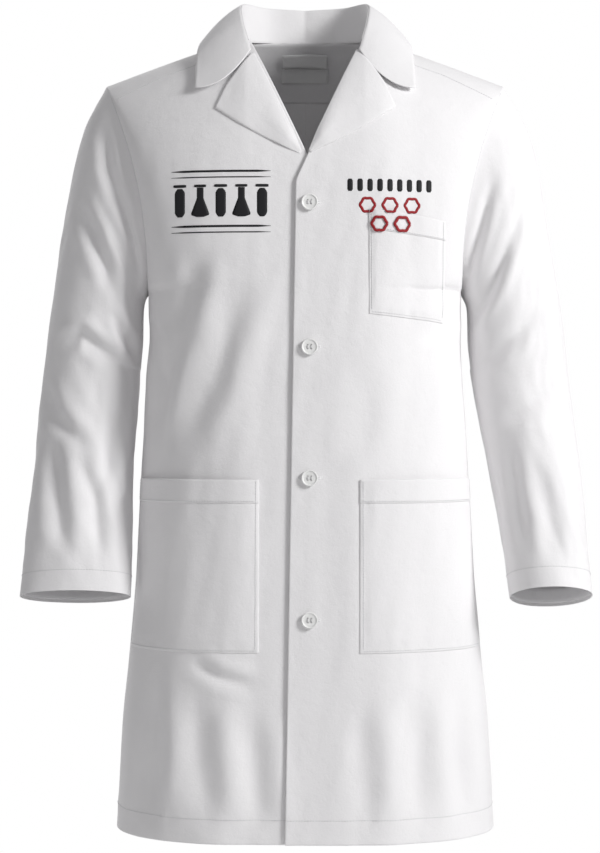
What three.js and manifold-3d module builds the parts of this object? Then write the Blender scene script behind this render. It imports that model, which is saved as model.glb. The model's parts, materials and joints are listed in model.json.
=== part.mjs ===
// A knee-length white laboratory coat, buttoned, hanging as it does on a pair of shoulders.
// Millimetres, +Z up, front towards -Y, +X is the wearer's left.
// The origin is midway between the neck ends of the shoulder seams, where a hanger's hook rises.
import * as THREE from "three";
import { mergeVertices } from "three/addons/utils/BufferGeometryUtils.js";
import Module from "manifold-3d";

const wasm = await Module();
wasm.setup();

// ---- driving dimensions ----
const CLOTH = 1.6; // thickness of a doubled, seamed panel
const LINING = 1.4; // thickness of a facing, hem allowance or pocket
const TRIM = 0.6; // thickness of embroidery, labels and buttonhole stitching
const GAP = 0.4; // clearance between sewn layers
const SEAM = 0.25; // half of the gap where two panels meet edge to edge

const HEM_Z = -955;
const NECK_HALF = 78; // neck ends of the shoulder seams
const NAPE_RISE = 8; // the nape stands this much above them
const NAPE_DEPTH = 58;
const TIP_X = 240; // outer end of the shoulder seam
const TIP_Z = -60;
const UNDERARM_Z = -310;
const UNDERARM_X = 189;
const ARMHOLE_WAIST_X = 183; // narrowest place across the armholes
const ARMHOLE_FRONT = 66;
const ARMHOLE_BACK = 74;

// [height, value] of the body's half width and of its depth in front of and behind the side seams
const HALF_WIDTH = [
  [HEM_Z, 227], [-830, 220], [-740, 212], [-640, 203], [-540, 198], [-375, 188], [UNDERARM_Z, UNDERARM_X],
];
const FRONT_DEPTH = [[HEM_Z, 138], [-700, 130], [-500, 125], [-300, 121], [-150, 119], [0, 118]];
const BACK_DEPTH = [[HEM_Z, 124], [-700, 112], [-450, 102], [-250, 112], [0, 112]];
const FRONT_ROUND = 200; // height over which the shoulder rounds into the chest
const BACK_ROUND = 150;
const FLAT_SHARE = 0.2; // middle share of each front that is flat

const CROSS = { x: 3, z: -158 }; // where the two lapel rolls cross
const GORGE_LEVEL = -28; // where the gorge seams meet the roll lines
const GORGE_INSET = 15.2; // they meet this far in from the neck ends of the shoulder seams
const ROLL_SLOPE = (NECK_HALF - GORGE_INSET - CROSS.x) / (GORGE_LEVEL - CROSS.z);
const LEFT_EDGE_TOP = -10;
const LEFT_EDGE_HEM = -23;
const UNDERLAP = 28; // how far the right front runs under the left one
const LAP_LIFT = CLOTH + LINING + 2.5 * GAP; // the left front rides over the right one and its own facing
const LIFT_FULL = 85; // the lift is whole up to here and gone at LIFT_GONE
const LIFT_GONE = 135;

const FACING_COLUMNS = 3; // a facing is this many mesh steps of its front wide
const HEM_DEPTH = 28;
const CUFF_DEPTH = 26;
const VENT_TOP = -640;
const VENT_SLIT = 1.5; // half of the open slit

const BUTTON_X = 5;
const BUTTON_Z = [-213, -381, -533, -697];
const BUTTON_R = 9.5;
const BUTTON_THICK = 3.2;
const BUTTON_STAND = 1.2; // shank height under a button
const HOLE_R = 1.1;
const HOLE_OFFSET = 2.1;
const THREAD_R = 0.55;
const BUTTONHOLE = { half: 12, height: 2.4 };

const CHEST_POCKET = { inner: 74, outer: 163, top: -220, bottom: -342, tilt: 9, band: 24, gape: 9.5 };
const SIDE_POCKET = { top: -535, bottom: -735, band: 27, gape: 13 };
const LEFT_POCKET_INNER = 63;
const RIGHT_POCKET_INNER = 54;
const POCKET_REACH = 80; // degrees round the body where a side pocket ends

const CORNER = { top: -795, foot: 72 }; // each front corner folds on the line between these
const CORNER_GAP = 0.4;

const COLUMNS = 12; // mesh steps across a body panel
// Mesh rows above the underarm, as shares of the way down to it.
const SHOULDER_ROWS = [0.845, 0.7, 0.565, 0.44, 0.335, 0.24, 0.16, 0.103, 0.0645, 0.0355, 0.0145, 0];
const RING = 20; // mesh steps round a sleeve

// ---- small helpers ----
const { lerp, clamp, degToRad } = THREE.MathUtils;
const vec = (x, y, z) => new THREE.Vector3(x, y, z);

// Reads a smooth value at a height from a list of [height, value] that rises in height.
function profile(list, z) {
  const last = list.length - 1;
  if (z <= list[0][0]) return list[0][1];
  if (z >= list[last][0]) return list[last][1];
  const i = list.findIndex((row) => row[0] > z) - 1;
  const slope = (k) => {
    const a = list[Math.max(k - 1, 0)];
    const b = list[Math.min(k + 1, last)];
    return (b[1] - a[1]) / (b[0] - a[0]);
  };
  const [z0, v0] = list[i];
  const [z1, v1] = list[i + 1];
  const t = (z - z0) / (z1 - z0);
  const bend = (z1 - z0) * t * (1 - t);
  return lerp(v0, v1, t * t * (3 - 2 * t)) + bend * ((1 - t) * slope(i) - t * slope(i + 1));
}

const steps = (from, to, count) => Array.from({ length: count + 1 }, (_, i) => lerp(from, to, i / count));

// How far a shoulder has rounded out at a level below it, from 0 on the ridge to 1.
const rounding = (level, height) =>
  level < -height ? 1 : Math.sqrt(Math.max(0, 1 - (1 + level / height) ** 2));

// ---- the body's surface ----
// A point is found from x and a level: the level is its height on the centre line, and it falls
// towards the arm so that level 0 is the shoulder seam and the underarm level is the armhole's foot.
const armCos = (level) => 1 - (2 * level) / UNDERARM_Z;

function armholeX(c) {
  const high = (1 + c) / 2;
  const shoulder = (TIP_X - ARMHOLE_WAIST_X) * high ** 2;
  return ARMHOLE_WAIST_X + shoulder + (UNDERARM_X - ARMHOLE_WAIST_X) * (1 - high) ** 3;
}

const armholeZ = (c) => (TIP_Z + UNDERARM_Z) / 2 + ((TIP_Z - UNDERARM_Z) / 2) * c;

// The side limit of a panel at a level: side seam below the underarm, armhole above it.
function sideEdge(level, armDepth) {
  if (level <= UNDERARM_Z) return { x: profile(HALF_WIDTH, level), y: 0, z: level };
  const c = armCos(level);
  return { x: armholeX(c), y: armDepth * Math.sqrt(Math.max(0, 1 - c * c)), z: armholeZ(c) };
}

function sectionShape(share, roundness, flat) {
  const s = Math.max(0, (share - flat) / (1 - flat));
  return Math.max(0, 1 - s ** roundness) ** (1 / roundness);
}

function bodyPoint(x, level, front) {
  const edge = sideEdge(level, front ? ARMHOLE_FRONT : ARMHOLE_BACK);
  const share = Math.min(1, Math.abs(x) / edge.x);
  const depth = front
    ? profile(FRONT_DEPTH, level) * rounding(level, FRONT_ROUND) ** 1.25
    : profile(BACK_DEPTH, level) * rounding(level, BACK_ROUND) ** 1.1;
  const shape = sectionShape(share, front ? 2.4 : 2.2, front ? FLAT_SHARE : 0);
  let y = edge.y + (depth - edge.y) * shape;
  const ridge = Math.max(0, (Math.abs(x) - NECK_HALF + 8) / (edge.x - NECK_HALF + 8)) ** 1.1;
  let z = level + (edge.z - level) * ridge;
  if (!front) {
    const nape = Math.sqrt(Math.max(0, 1 - (x / NECK_HALF) ** 2));
    const fade = 1 - rounding(level, BACK_ROUND) ** 0.65;
    y += NAPE_DEPTH * nape * fade;
    z += NAPE_RISE * nape * nape * fade;
  }
  return vec(x, front ? -Math.max(y, SEAM) : Math.max(y, SEAM), z);
}

const lapLift = (x) => LAP_LIFT * THREE.MathUtils.smoothstep(-x, -LIFT_GONE, -LIFT_FULL);
const leftEdgeX = (level) => lerp(LEFT_EDGE_HEM, LEFT_EDGE_TOP, (level - HEM_Z) / (CROSS.z - HEM_Z));
const rollX = (level) => CROSS.x + (level - CROSS.z) * ROLL_SLOPE;

// ---- thin shells ----
// surface(u, v) with u to the right and v up as seen from outside; layer(u, v) gives [inner, outer]
// offsets along the outward normal. A closed shell joins its last column to its first.
function shell(surface, us, vs, layer, closed = false) {
  const nu = us.length;
  const nv = vs.length;
  const outer = [];
  const inner = [];
  const step = 0.004;
  for (const v of vs) {
    for (const u of us) {
      const p = surface(u, v);
      const du = surface(Math.min(1, u + step), v).sub(surface(Math.max(0, u - step), v));
      const dv = surface(u, Math.min(1, v + step)).sub(surface(u, Math.max(0, v - step)));
      const n = du.cross(dv).normalize();
      const [low, high] = layer(u, v, p);
      outer.push(p.clone().addScaledVector(n, high));
      inner.push(p.clone().addScaledVector(n, low));
    }
  }
  const points = outer.concat(inner);
  const half = outer.length;
  const faces = [];
  const at = (i, j) => j * nu + (i % nu);
  const quad = (a, b, c, d) => faces.push(a, b, c, a, c, d);
  const columns = closed ? nu : nu - 1;
  for (let j = 0; j < nv - 1; j++) {
    for (let i = 0; i < columns; i++) {
      quad(at(i, j), at(i + 1, j), at(i + 1, j + 1), at(i, j + 1));
      quad(half + at(i, j), half + at(i, j + 1), half + at(i + 1, j + 1), half + at(i + 1, j));
    }
  }
  for (let i = 0; i < columns; i++) {
    quad(at(i + 1, 0), at(i, 0), half + at(i, 0), half + at(i + 1, 0));
    quad(at(i, nv - 1), at(i + 1, nv - 1), half + at(i + 1, nv - 1), half + at(i, nv - 1));
  }
  if (!closed) {
    for (let j = 0; j < nv - 1; j++) {
      quad(at(0, j), at(0, j + 1), half + at(0, j + 1), half + at(0, j));
      quad(at(nu - 1, j + 1), at(nu - 1, j), half + at(nu - 1, j), half + at(nu - 1, j + 1));
    }
  }
  const geometry = new THREE.BufferGeometry().setFromPoints(points);
  geometry.setIndex(faces);
  return geometry;
}

// ---- solids for cutting and joining ----
function solid(geometry) {
  const plain = geometry.clone();
  plain.deleteAttribute("normal");
  plain.deleteAttribute("uv");
  const merged = mergeVertices(plain, 1e-3);
  const triVerts = new Uint32Array(merged.index.array);
  return new wasm.Manifold(
    new wasm.Mesh({ numProp: 3, vertProperties: merged.attributes.position.array, triVerts }),
  );
}

function geometryOf(body) {
  const mesh = body.getMesh();
  const geometry = new THREE.BufferGeometry();
  geometry.setAttribute("position", new THREE.BufferAttribute(mesh.vertProperties, 3));
  geometry.setIndex(new THREE.BufferAttribute(mesh.triVerts, 1));
  return geometry;
}

// ---- materials and the coat ----
const coat = new THREE.Group();
const finishes = {
  cloth: { color: "#eef0f2", roughness: 0.9, metalness: 0 },
  lining: { color: "#e6e8ea", roughness: 0.92, metalness: 0 },
  tape: { color: "#dcdedf", roughness: 0.85, metalness: 0 },
  button: { color: "#f4f4f2", roughness: 0.3, metalness: 0 },
  thread: { color: "#f2f2f0", roughness: 0.8, metalness: 0 },
  black: { color: "#1c1c1e", roughness: 0.6, metalness: 0 },
  red: { color: "#a81f24", roughness: 0.6, metalness: 0 },
};

function add(name, geometry, finish) {
  const mesh = new THREE.Mesh(geometry, new THREE.MeshStandardMaterial(finishes[finish]));
  mesh.name = name;
  coat.add(mesh);
  return mesh;
}

const even = (low, high) => () => [low, high];
const inside = even(-GAP - LINING, -GAP);

// ---- front panels ----
// u runs from the wearer's right to left; the front's own edge is at u = 0 on the left front.
const shareOf = (level) => (level - HEM_Z) / -HEM_Z;
const levelAt = (v) => lerp(HEM_Z, 0, v);
const HEM_TOP = HEM_Z + HEM_DEPTH;
const skirtRows = [HEM_Z, ...steps(HEM_TOP, UNDERARM_Z, 10)].map(shareOf);
const shoulderRows = SHOULDER_ROWS.map((share) => shareOf(share * UNDERARM_Z));
const panelRows = [...skirtRows, ...shoulderRows];
const panelColumns = steps(0, 1, COLUMNS);
// A run of the mesh rows above the underarm, counted down from the shoulder seam.
const rowsDown = (first, last) =>
  shoulderRows.slice(shoulderRows.length - 1 - last, shoulderRows.length - first);

// A point of a front at a share u of the way from its own edge to the side.
function frontAt(side, innerX, u, level) {
  const edge = sideEdge(level, ARMHOLE_FRONT).x;
  const from = Math.asin(clamp(innerX / edge, -1, 1));
  const x = edge * Math.sin(lerp(from, Math.PI / 2, u));
  return bodyPoint(side * x, level, true);
}

const leftInner = (level) => Math.max(leftEdgeX(level), rollX(level));
const rightInner = (level) => Math.max(-UNDERLAP, rollX(level) - 2 * CROSS.x);
const liftOf = (side, p) => (side > 0 ? lapLift(p.x) : 0);

function frontSurface(side) {
  const inner = side > 0 ? leftInner : rightInner;
  return (u, v) => frontAt(side, inner(levelAt(v)), side > 0 ? u : 1 - u, levelAt(v));
}

function onFront(side, low, high) {
  return (u, v, p) => [liftOf(side, p) + low, liftOf(side, p) + high];
}

// The prism under the fold line of one front corner, moved out from the line by a margin.
function cornerWedge(side, margin) {
  const startX = side > 0 ? LEFT_EDGE_HEM : -UNDERLAP;
  const start = new THREE.Vector2(startX, CORNER.top);
  const end = new THREE.Vector2(CORNER.foot, HEM_Z - 5);
  const along = end.clone().sub(start).normalize();
  const out = new THREE.Vector2(-along.y, along.x).multiplyScalar(margin);
  const reach = 60;
  const a = start.clone().addScaledVector(along, -reach).add(out);
  const b = end.clone().addScaledVector(along, reach).add(out);
  const shape = new THREE.Shape([a, new THREE.Vector2(a.x - 2 * reach, b.y), b]);
  const depth = 120;
  const geometry = new THREE.ExtrudeGeometry(shape, { depth, bevelEnabled: false });
  geometry.rotateX(Math.PI / 2);
  geometry.translate(0, -60, 0);
  if (side < 0) geometry.scale(-1, 1, 1);
  const body = geometry.index ? geometry.toNonIndexed() : geometry;
  if (side < 0) {
    const p = body.attributes.position.array;
    for (let i = 0; i < p.length; i += 9) {
      for (let k = 0; k < 3; k++) [p[i + k], p[i + 3 + k]] = [p[i + 3 + k], p[i + k]];
    }
  }
  return solid(body);
}

function addSplit(name, cornerName, geometry, side, finish) {
  const whole = solid(geometry);
  add(name, geometryOf(whole.subtract(cornerWedge(side, CORNER_GAP))), finish);
  add(cornerName, geometryOf(whole.intersect(cornerWedge(side, -CORNER_GAP))), finish);
}

for (const [word, side] of [["left", 1], ["right", -1]]) {
  const panel = shell(frontSurface(side), panelColumns, panelRows, onFront(side, 0, CLOTH));
  addSplit(`front_${word}`, `front_corner_${word}`, panel, side, "cloth");
}

// ---- front facings, inside each front from its edge ----
const fromEdge = (side, shares) => (side > 0 ? shares : shares.map((u) => 1 - u).reverse());
for (const [word, side] of [["left", 1], ["right", -1]]) {
  const columns = fromEdge(side, panelColumns.slice(0, FACING_COLUMNS + 1));
  const rows = [...skirtRows, ...rowsDown(5, SHOULDER_ROWS.length - 1)];
  const strip = shell(frontSurface(side), columns, rows, onFront(side, -GAP - LINING, -GAP));
  addSplit(`facing_${word}`, `facing_corner_${word}`, strip, side, "lining");
}

// ---- back panels, centre seam and vent ----
function backHalf(side) {
  return (u, v) => {
    const level = levelAt(v);
    const edge = sideEdge(level, ARMHOLE_BACK).x;
    const slit = level < VENT_TOP ? VENT_SLIT : SEAM;
    const angle = lerp(Math.asin(slit / edge), Math.PI / 2, side > 0 ? 1 - u : u);
    return bodyPoint(side * edge * Math.sin(angle), level, false);
  };
}
for (const [word, side] of [["left", 1], ["right", -1]]) {
  add(`back_${word}`, shell(backHalf(side), panelColumns, panelRows, even(0, CLOTH)), "cloth");
}

// The back across the centre seam: u runs from the wearer's left side seam to the right one.
function backWhole(u, v) {
  const level = levelAt(v);
  return bodyPoint(sideEdge(level, ARMHOLE_BACK).x * Math.sin((0.5 - u) * Math.PI), level, false);
}
// The mesh columns within a count of steps of the centre seam.
const besideSeam = (count) => steps(0.5 - count / COLUMNS / 2, 0.5 + count / COLUMNS / 2, 2 * count);
const ventRows = skirtRows.filter((v) => levelAt(v) < VENT_TOP);
add("vent_underlay", shell(backWhole, besideSeam(1), ventRows, inside), "lining");
add("back_neck_facing", shell(backWhole, besideSeam(3), rowsDown(1, 6), inside), "lining");

// ---- hem allowance, turned up inside ----
const hemRows = skirtRows.slice(0, 2);
const beyond = (count) => [(count + 0.05) / COLUMNS, ...panelColumns.slice(count + 1, COLUMNS)];
for (const [word, side] of [["left", 1], ["right", -1]]) {
  const frontColumns = fromEdge(side, beyond(FACING_COLUMNS));
  const backColumns = fromEdge(-side, beyond(1));
  const layer = onFront(side, -GAP - LINING, -GAP);
  add(`front_hem_${word}`, shell(frontSurface(side), frontColumns, hemRows, layer), "lining");
  add(`back_hem_${word}`, shell(backHalf(side), backColumns, hemRows, inside), "lining");
}

// ---- pockets: a patch that gapes at its mouth, and a stitched top band on it ----
const POCKET_BASE = CLOTH + 2 * GAP;
const pocketGape = (gape, u, v) => gape * Math.sin(Math.PI * clamp(u, 0, 1)) ** 0.8 * v ** 1.2;

function addPocket(name, side, place, height, gape, bandHeight, columns) {
  const offset = (u, v, p) => liftOf(side, p) + POCKET_BASE + pocketGape(gape, u, v);
  const patch = (u, v, p) => [offset(u, v, p), offset(u, v, p) + LINING];
  add(name, shell(place, steps(0, 1, columns), steps(0, 1, 6), patch), "cloth");
  const foot = 1 - bandHeight / height;
  const bandPlace = (u, v) => place(u, lerp(foot, 1, v));
  const bandLayer = (u, v, p) => {
    const top = offset(u, lerp(foot, 1, v), p) + LINING + GAP;
    return [top, top + TRIM];
  };
  add(`${name}_band`, shell(bandPlace, steps(0, 1, columns), steps(0, 1, 2), bandLayer), "cloth");
}

const chestPlace = (u, v) => {
  const level = lerp(CHEST_POCKET.bottom - CHEST_POCKET.tilt * u, CHEST_POCKET.top, v);
  return bodyPoint(lerp(CHEST_POCKET.inner, CHEST_POCKET.outer, u), level, true);
};
const chestHeight = CHEST_POCKET.top - CHEST_POCKET.bottom;
addPocket("chest_pocket", 1, chestPlace, chestHeight, CHEST_POCKET.gape, CHEST_POCKET.band, 8);

const sidePocketHeight = SIDE_POCKET.top - SIDE_POCKET.bottom;
for (const [word, side, innerX] of [["left", 1, LEFT_POCKET_INNER], ["right", -1, RIGHT_POCKET_INNER]]) {
  const place = (u, v) => {
    const level = lerp(SIDE_POCKET.bottom, SIDE_POCKET.top, v);
    const edge = profile(HALF_WIDTH, level);
    const share = side > 0 ? u : 1 - u;
    const angle = lerp(Math.asin(innerX / edge), degToRad(POCKET_REACH), share);
    return bodyPoint(side * edge * Math.sin(angle), level, true);
  };
  addPocket(`pocket_${word}`, side, place, sidePocketHeight, SIDE_POCKET.gape, SIDE_POCKET.band, 10);
}

// ---- lapels: the fronts turned out along the roll line ----
const NOTCH = { x: NECK_HALF + 14, z: -72 };
const LAPEL_TIP = { x: NECK_HALF + 27, z: -100 };
const COLLAR_TIP = { x: NECK_HALF + 52, z: -78 };
const LAPEL_LIFT = 2; // the lapel's edge stands this much prouder than its roll
const LAPEL_CLEAR = 0.2;

// The level whose point at x has height z, found by stepping down from it.
function levelFor(x, z) {
  let level = z;
  for (let i = 0; i < 12; i++) level += z - bodyPoint(x, level, true).z;
  return Math.min(level, -1);
}

function lapelSurface(side) {
  const foot = { x: CROSS.x * side, z: CROSS.z + 1 };
  const top = { x: rollX(GORGE_LEVEL), z: GORGE_LEVEL };
  return (u, v) => {
    const across = side > 0 ? u : 1 - u;
    const knee = 0.75;
    const beyondKnee = (across - knee) / (1 - knee);
    const head = across < knee ? [top, NOTCH, across / knee] : [NOTCH, LAPEL_TIP, beyondKnee];
    const x = lerp(head[0].x, head[1].x, head[2]);
    const z = lerp(head[0].z, head[1].z, head[2]);
    const up = lerp(0.06, 1, v);
    const at = { x: lerp(foot.x, side * x, up), z: lerp(foot.z, z, up) };
    return bodyPoint(at.x, levelFor(at.x, at.z), true);
  };
}
for (const [word, side] of [["left", 1], ["right", -1]]) {
  const rise = (u) => LAPEL_LIFT * (side > 0 ? u : 1 - u);
  const layer = (u, v, p) => {
    const base = liftOf(side, p) + CLOTH + GAP + rise(u) + LAPEL_CLEAR;
    return [base, base + CLOTH];
  };
  add(`lapel_${word}`, shell(lapelSurface(side), steps(0, 1, 8), steps(0, 1, 8), layer), "cloth");
}

// ---- collar: a stand round the neck and a leaf that falls from its roll ----
const STAND_HEIGHT = 40;
const STAND_DROP = 1.2; // the stand's top edge lies this far under the roll
const COLLAR_CLEAR = 5; // the leaf's edge over the shoulders
const COLLAR_TIP_CLEAR = 1.6; // more of it at the front, over the lapel
const onShoulder = (x, level, front, clear) => {
  const p = bodyPoint(x, level, front);
  return p.add(vec(0, front ? -clear : clear, clear * 0.6));
};
const collarCurve = (points) => new THREE.CatmullRomCurve3(points, false, "centripetal");
// Each half runs from the nape to the gorge.
const neckSeam = collarCurve([
  vec(0, NAPE_DEPTH, NAPE_RISE + 0.5),
  vec(NECK_HALF - 32, NAPE_DEPTH - 11, NAPE_RISE - 1),
  vec(NECK_HALF - 4, 16, 3),
  vec(NECK_HALF - 3, -14, 2),
  bodyPoint(rollX(-16), -16, true).add(vec(0, 0, 3)),
]);
const rollLine = collarCurve([
  vec(0, NAPE_DEPTH + 5, STAND_HEIGHT + 6),
  vec(NECK_HALF - 30, NAPE_DEPTH - 6, STAND_HEIGHT + 7),
  vec(NECK_HALF - 2, 18, STAND_HEIGHT + 5),
  vec(NECK_HALF - 2, -26, 18),
  bodyPoint(rollX(GORGE_LEVEL), GORGE_LEVEL, true).add(vec(2, -9, 4)),
]);
const fallEdge = collarCurve([
  onShoulder(0, -34, false, COLLAR_CLEAR),
  onShoulder(NECK_HALF - 12, -26, false, COLLAR_CLEAR),
  vec(NECK_HALF + 40, 24, -2),
  vec(NECK_HALF + 50, -26, -16),
  onShoulder(COLLAR_TIP.x, levelFor(COLLAR_TIP.x, COLLAR_TIP.z), true, COLLAR_CLEAR + COLLAR_TIP_CLEAR),
]);
const notchLevel = levelFor(NOTCH.x, NOTCH.z + 6);
const notchPoint = onShoulder(NOTCH.x + 4, notchLevel, true, COLLAR_CLEAR + COLLAR_TIP_CLEAR);

function mirrored(p, side) {
  p.x *= side;
  return p;
}
// u from the wearer's left gorge (0) by the nape (0.5) to the right gorge (1); v from the edge up.
function collarLeaf(u, v) {
  const share = Math.abs(2 * u - 1);
  const side = u < 0.5 ? 1 : -1;
  const roll = rollLine.getPoint(share);
  const edge = fallEdge.getPoint(share);
  const bow = roll.clone().lerp(edge, 0.45);
  const outward = vec(bow.x, bow.y, 0).normalize();
  bow.addScaledVector(outward, 9 * (1 - share ** 3)).add(vec(0, 0, 8 * (1 - share ** 3)));
  const pull = THREE.MathUtils.smoothstep(share, 0.8, 1);
  bow.lerp(notchPoint, pull);
  return mirrored(new THREE.QuadraticBezierCurve3(edge, bow, roll).getPoint(v), side);
}
function collarStand(u, v) {
  const share = 0.92 * Math.abs(2 * u - 1);
  const side = u < 0.5 ? 1 : -1;
  const top = rollLine.getPoint(share).add(vec(0, 0, -STAND_DROP));
  return mirrored(neckSeam.getPoint(share).lerp(top, v), side);
}
const collarColumns = steps(0, 1, 32);
const COLLAR_ROWS = [0, 0.06, 0.25, 0.45, 0.65, 0.85, 1];
const UNDERCOLLAR = 1;
const standOuter = -GAP - UNDERCOLLAR - GAP;
const underLayer = even(-GAP - UNDERCOLLAR, -GAP);
const standLayer = (u, v) => [standOuter * v - CLOTH, standOuter * v];
add("collar_leaf", shell(collarLeaf, collarColumns, COLLAR_ROWS, even(0, CLOTH)), "cloth");
const underColumns = collarColumns.slice(1, -1);
add("undercollar", shell(collarLeaf, underColumns, COLLAR_ROWS.slice(1, -1), underLayer), "lining");
add("collar_stand", shell(collarStand, collarColumns, [0, 0.5, 1], standLayer), "cloth");

// ---- sleeves ----
// Each ring below the armhole: centre x, half width, centre height, lean (rise of its outer side),
// centre y, half depth, tilt (rise of its front).
const LEFT_RINGS = [
  [236, 38, -226, 103, 3, 68, 0],
  [247, 47, -298, 72, 3, 65, 0],
  [257, 54, -362, 38, 3, 61, 0],
  [263, 58, -420, 0, 2, 57, 0],
  [280, 53, -545, 0, -28, 53, 10],
  [292, 48, -675, 0, -66, 50, 16],
];
const RIGHT_RINGS = [
  [234, 37, -226, 103, 3, 68, 0],
  [246, 47, -298, 72, 3, 65, 0],
  [255, 53, -362, 38, 3, 60, 0],
  [261, 57, -420, 0, 2, 54, 0],
  [268, 60, -545, 0, -28, 42, 10],
  [273, 65, -675, 0, -66, 31, 10],
];
const ELBOW_RING = 4; // the ring, counted from the armhole, where the forearm part begins
const ARMHOLE_CLEAR = CLOTH + 2 * GAP;
const UNDERARM_CLEAR = 1.5; // more of it at the armhole's foot, where the side seam runs on down
const ELBOW_GAP = 0.3;

// The points of one line down a sleeve, at an angle from its outer side round by the front.
function sleeveLine(side, angle) {
  const c = Math.cos(angle);
  const s = Math.sin(angle);
  const depth = s > 0 ? ARMHOLE_FRONT : ARMHOLE_BACK;
  const clear = ARMHOLE_CLEAR + UNDERARM_CLEAR * ((1 - c) / 2) ** 3;
  const points = [vec(armholeX(c) + clear, -depth * s, armholeZ(c))];
  for (const [x, halfX, z, lean, y, halfY, tilt] of side > 0 ? LEFT_RINGS : RIGHT_RINGS) {
    points.push(vec(x + halfX * c, y - halfY * s, z + lean * c + tilt * s));
  }
  return new THREE.CatmullRomCurve3(points.map((p) => mirrored(p, side)), false, "catmullrom", 0.5);
}
const RING_COUNT = LEFT_RINGS.length;
const elbowShare = ELBOW_RING / RING_COUNT;

// u goes round the sleeve, v up it, between two shares of its length.
function sleeveSurface(side, top, bottom) {
  return (u, v) => {
    const angle = side > 0 ? Math.PI * 2 * (1 - u) : Math.PI * 2 * u;
    return sleeveLine(side, angle).getPoint(clamp(lerp(bottom, top, v), 0, 1));
  };
}
const ringShares = steps(0, 1, RING).slice(0, RING);
for (const [word, side] of [["left", 1], ["right", -1]]) {
  const split = ELBOW_GAP / 125 / RING_COUNT;
  const around = (top, bottom, rows, layer) =>
    shell(sleeveSurface(side, top, bottom), ringShares, steps(0, 1, rows), layer, true);
  add(`sleeve_${word}`, around(0, elbowShare - split, 9, even(0, CLOTH)), "cloth");
  add(`forearm_${word}`, around(elbowShare + split, 1, 5, even(0, CLOTH)), "cloth");
  const cuffTop = 1 - CUFF_DEPTH / 135 / RING_COUNT;
  add(`cuff_hem_${word}`, around(cuffTop, 0.9985, 1, inside), "lining");
}

// ---- buttons, their thread and the worked buttonholes ----
const frontOuter = (level) => {
  const p = bodyPoint(BUTTON_X, level, true);
  const up = bodyPoint(BUTTON_X, level + 5, true).sub(bodyPoint(BUTTON_X, level - 5, true)).normalize();
  return { p, normal: vec(1, 0, 0).cross(up).normalize() };
};

function buttonGeometry() {
  const rim = BUTTON_THICK;
  const dish = 0.9;
  const outline = [
    [0, 0], [BUTTON_R - 1.2, 0], [BUTTON_R - 0.2, 0.8], [BUTTON_R, 1.7], [BUTTON_R - 0.6, rim - 0.2],
    [BUTTON_R - 1.4, rim], [BUTTON_R - 2.6, rim - dish * 0.6], [BUTTON_R - 3.4, rim - dish], [0, rim - dish],
  ];
  let body = solid(new THREE.LatheGeometry(outline.map(([r, z]) => new THREE.Vector2(r, z)), 24));
  for (const [sx, sy] of [[1, 1], [1, -1], [-1, 1], [-1, -1]]) {
    const hole = new THREE.CylinderGeometry(HOLE_R, HOLE_R, 3 * BUTTON_THICK, 8);
    hole.translate(sx * HOLE_OFFSET, BUTTON_THICK / 2, sy * HOLE_OFFSET);
    body = body.subtract(solid(hole));
  }
  return geometryOf(body);
}

// Four legs through the holes, bridged over the face in two bars and gathered in a shank below.
function threadGeometry() {
  const top = BUTTON_THICK - 0.9 + GAP;
  const low = -BUTTON_STAND + GAP;
  const bar = (w, h, d, x, y, z) => solid(new THREE.BoxGeometry(w, h, d).translate(x, y, z));
  let body = bar(2 * (HOLE_OFFSET + THREAD_R), 0.5, 2 * (HOLE_OFFSET + THREAD_R), 0, (low - GAP) / 2, 0);
  for (const sx of [1, -1]) {
    const reach = 2 * (HOLE_OFFSET + THREAD_R);
    body = body.add(bar(2 * THREAD_R, 2 * THREAD_R, reach, sx * HOLE_OFFSET, top + THREAD_R, 0));
    for (const sz of [1, -1]) {
      const height = top + THREAD_R - (low - GAP) / 2;
      const middle = (top + THREAD_R + (low - GAP) / 2) / 2;
      body = body.add(bar(2 * THREAD_R, height, 2 * THREAD_R, sx * HOLE_OFFSET, middle, sz * HOLE_OFFSET));
    }
  }
  return geometryOf(body);
}

// A flat ring of stitching round the slit, along x.
function buttonholeGeometry() {
  const outer = solid(new THREE.BoxGeometry(2 * BUTTONHOLE.half, TRIM, BUTTONHOLE.height));
  const slit = solid(new THREE.BoxGeometry(2 * BUTTONHOLE.half - 3, 3 * TRIM, BUTTONHOLE.height / 3));
  return geometryOf(outer.subtract(slit));
}

BUTTON_Z.forEach((z, index) => {
  const { p, normal } = frontOuter(z);
  const turn = new THREE.Quaternion().setFromUnitVectors(vec(0, 1, 0), normal);
  const face = LAP_LIFT + CLOTH;
  const seat = (name, geometry, finish, height) => {
    const mesh = add(name, geometry, finish);
    mesh.quaternion.copy(turn);
    mesh.position.copy(p).addScaledVector(normal, face + height);
  };
  seat(`buttonhole_${index + 1}`, buttonholeGeometry(), "thread", 0.3 + TRIM / 2);
  seat(`button_${index + 1}`, buttonGeometry(), "button", BUTTON_STAND + TRIM + GAP);
  seat(`button_thread_${index + 1}`, threadGeometry(), "thread", BUTTON_STAND + TRIM + GAP);
});

// ---- embroidered motifs: thin oval grounds on the chest ----
const EMBLEM_CLEAR = 1.5 * GAP;
const EMBLEM_RISE = { right: 96, left: 120 }; // the middle of each motif above the underarm

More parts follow.
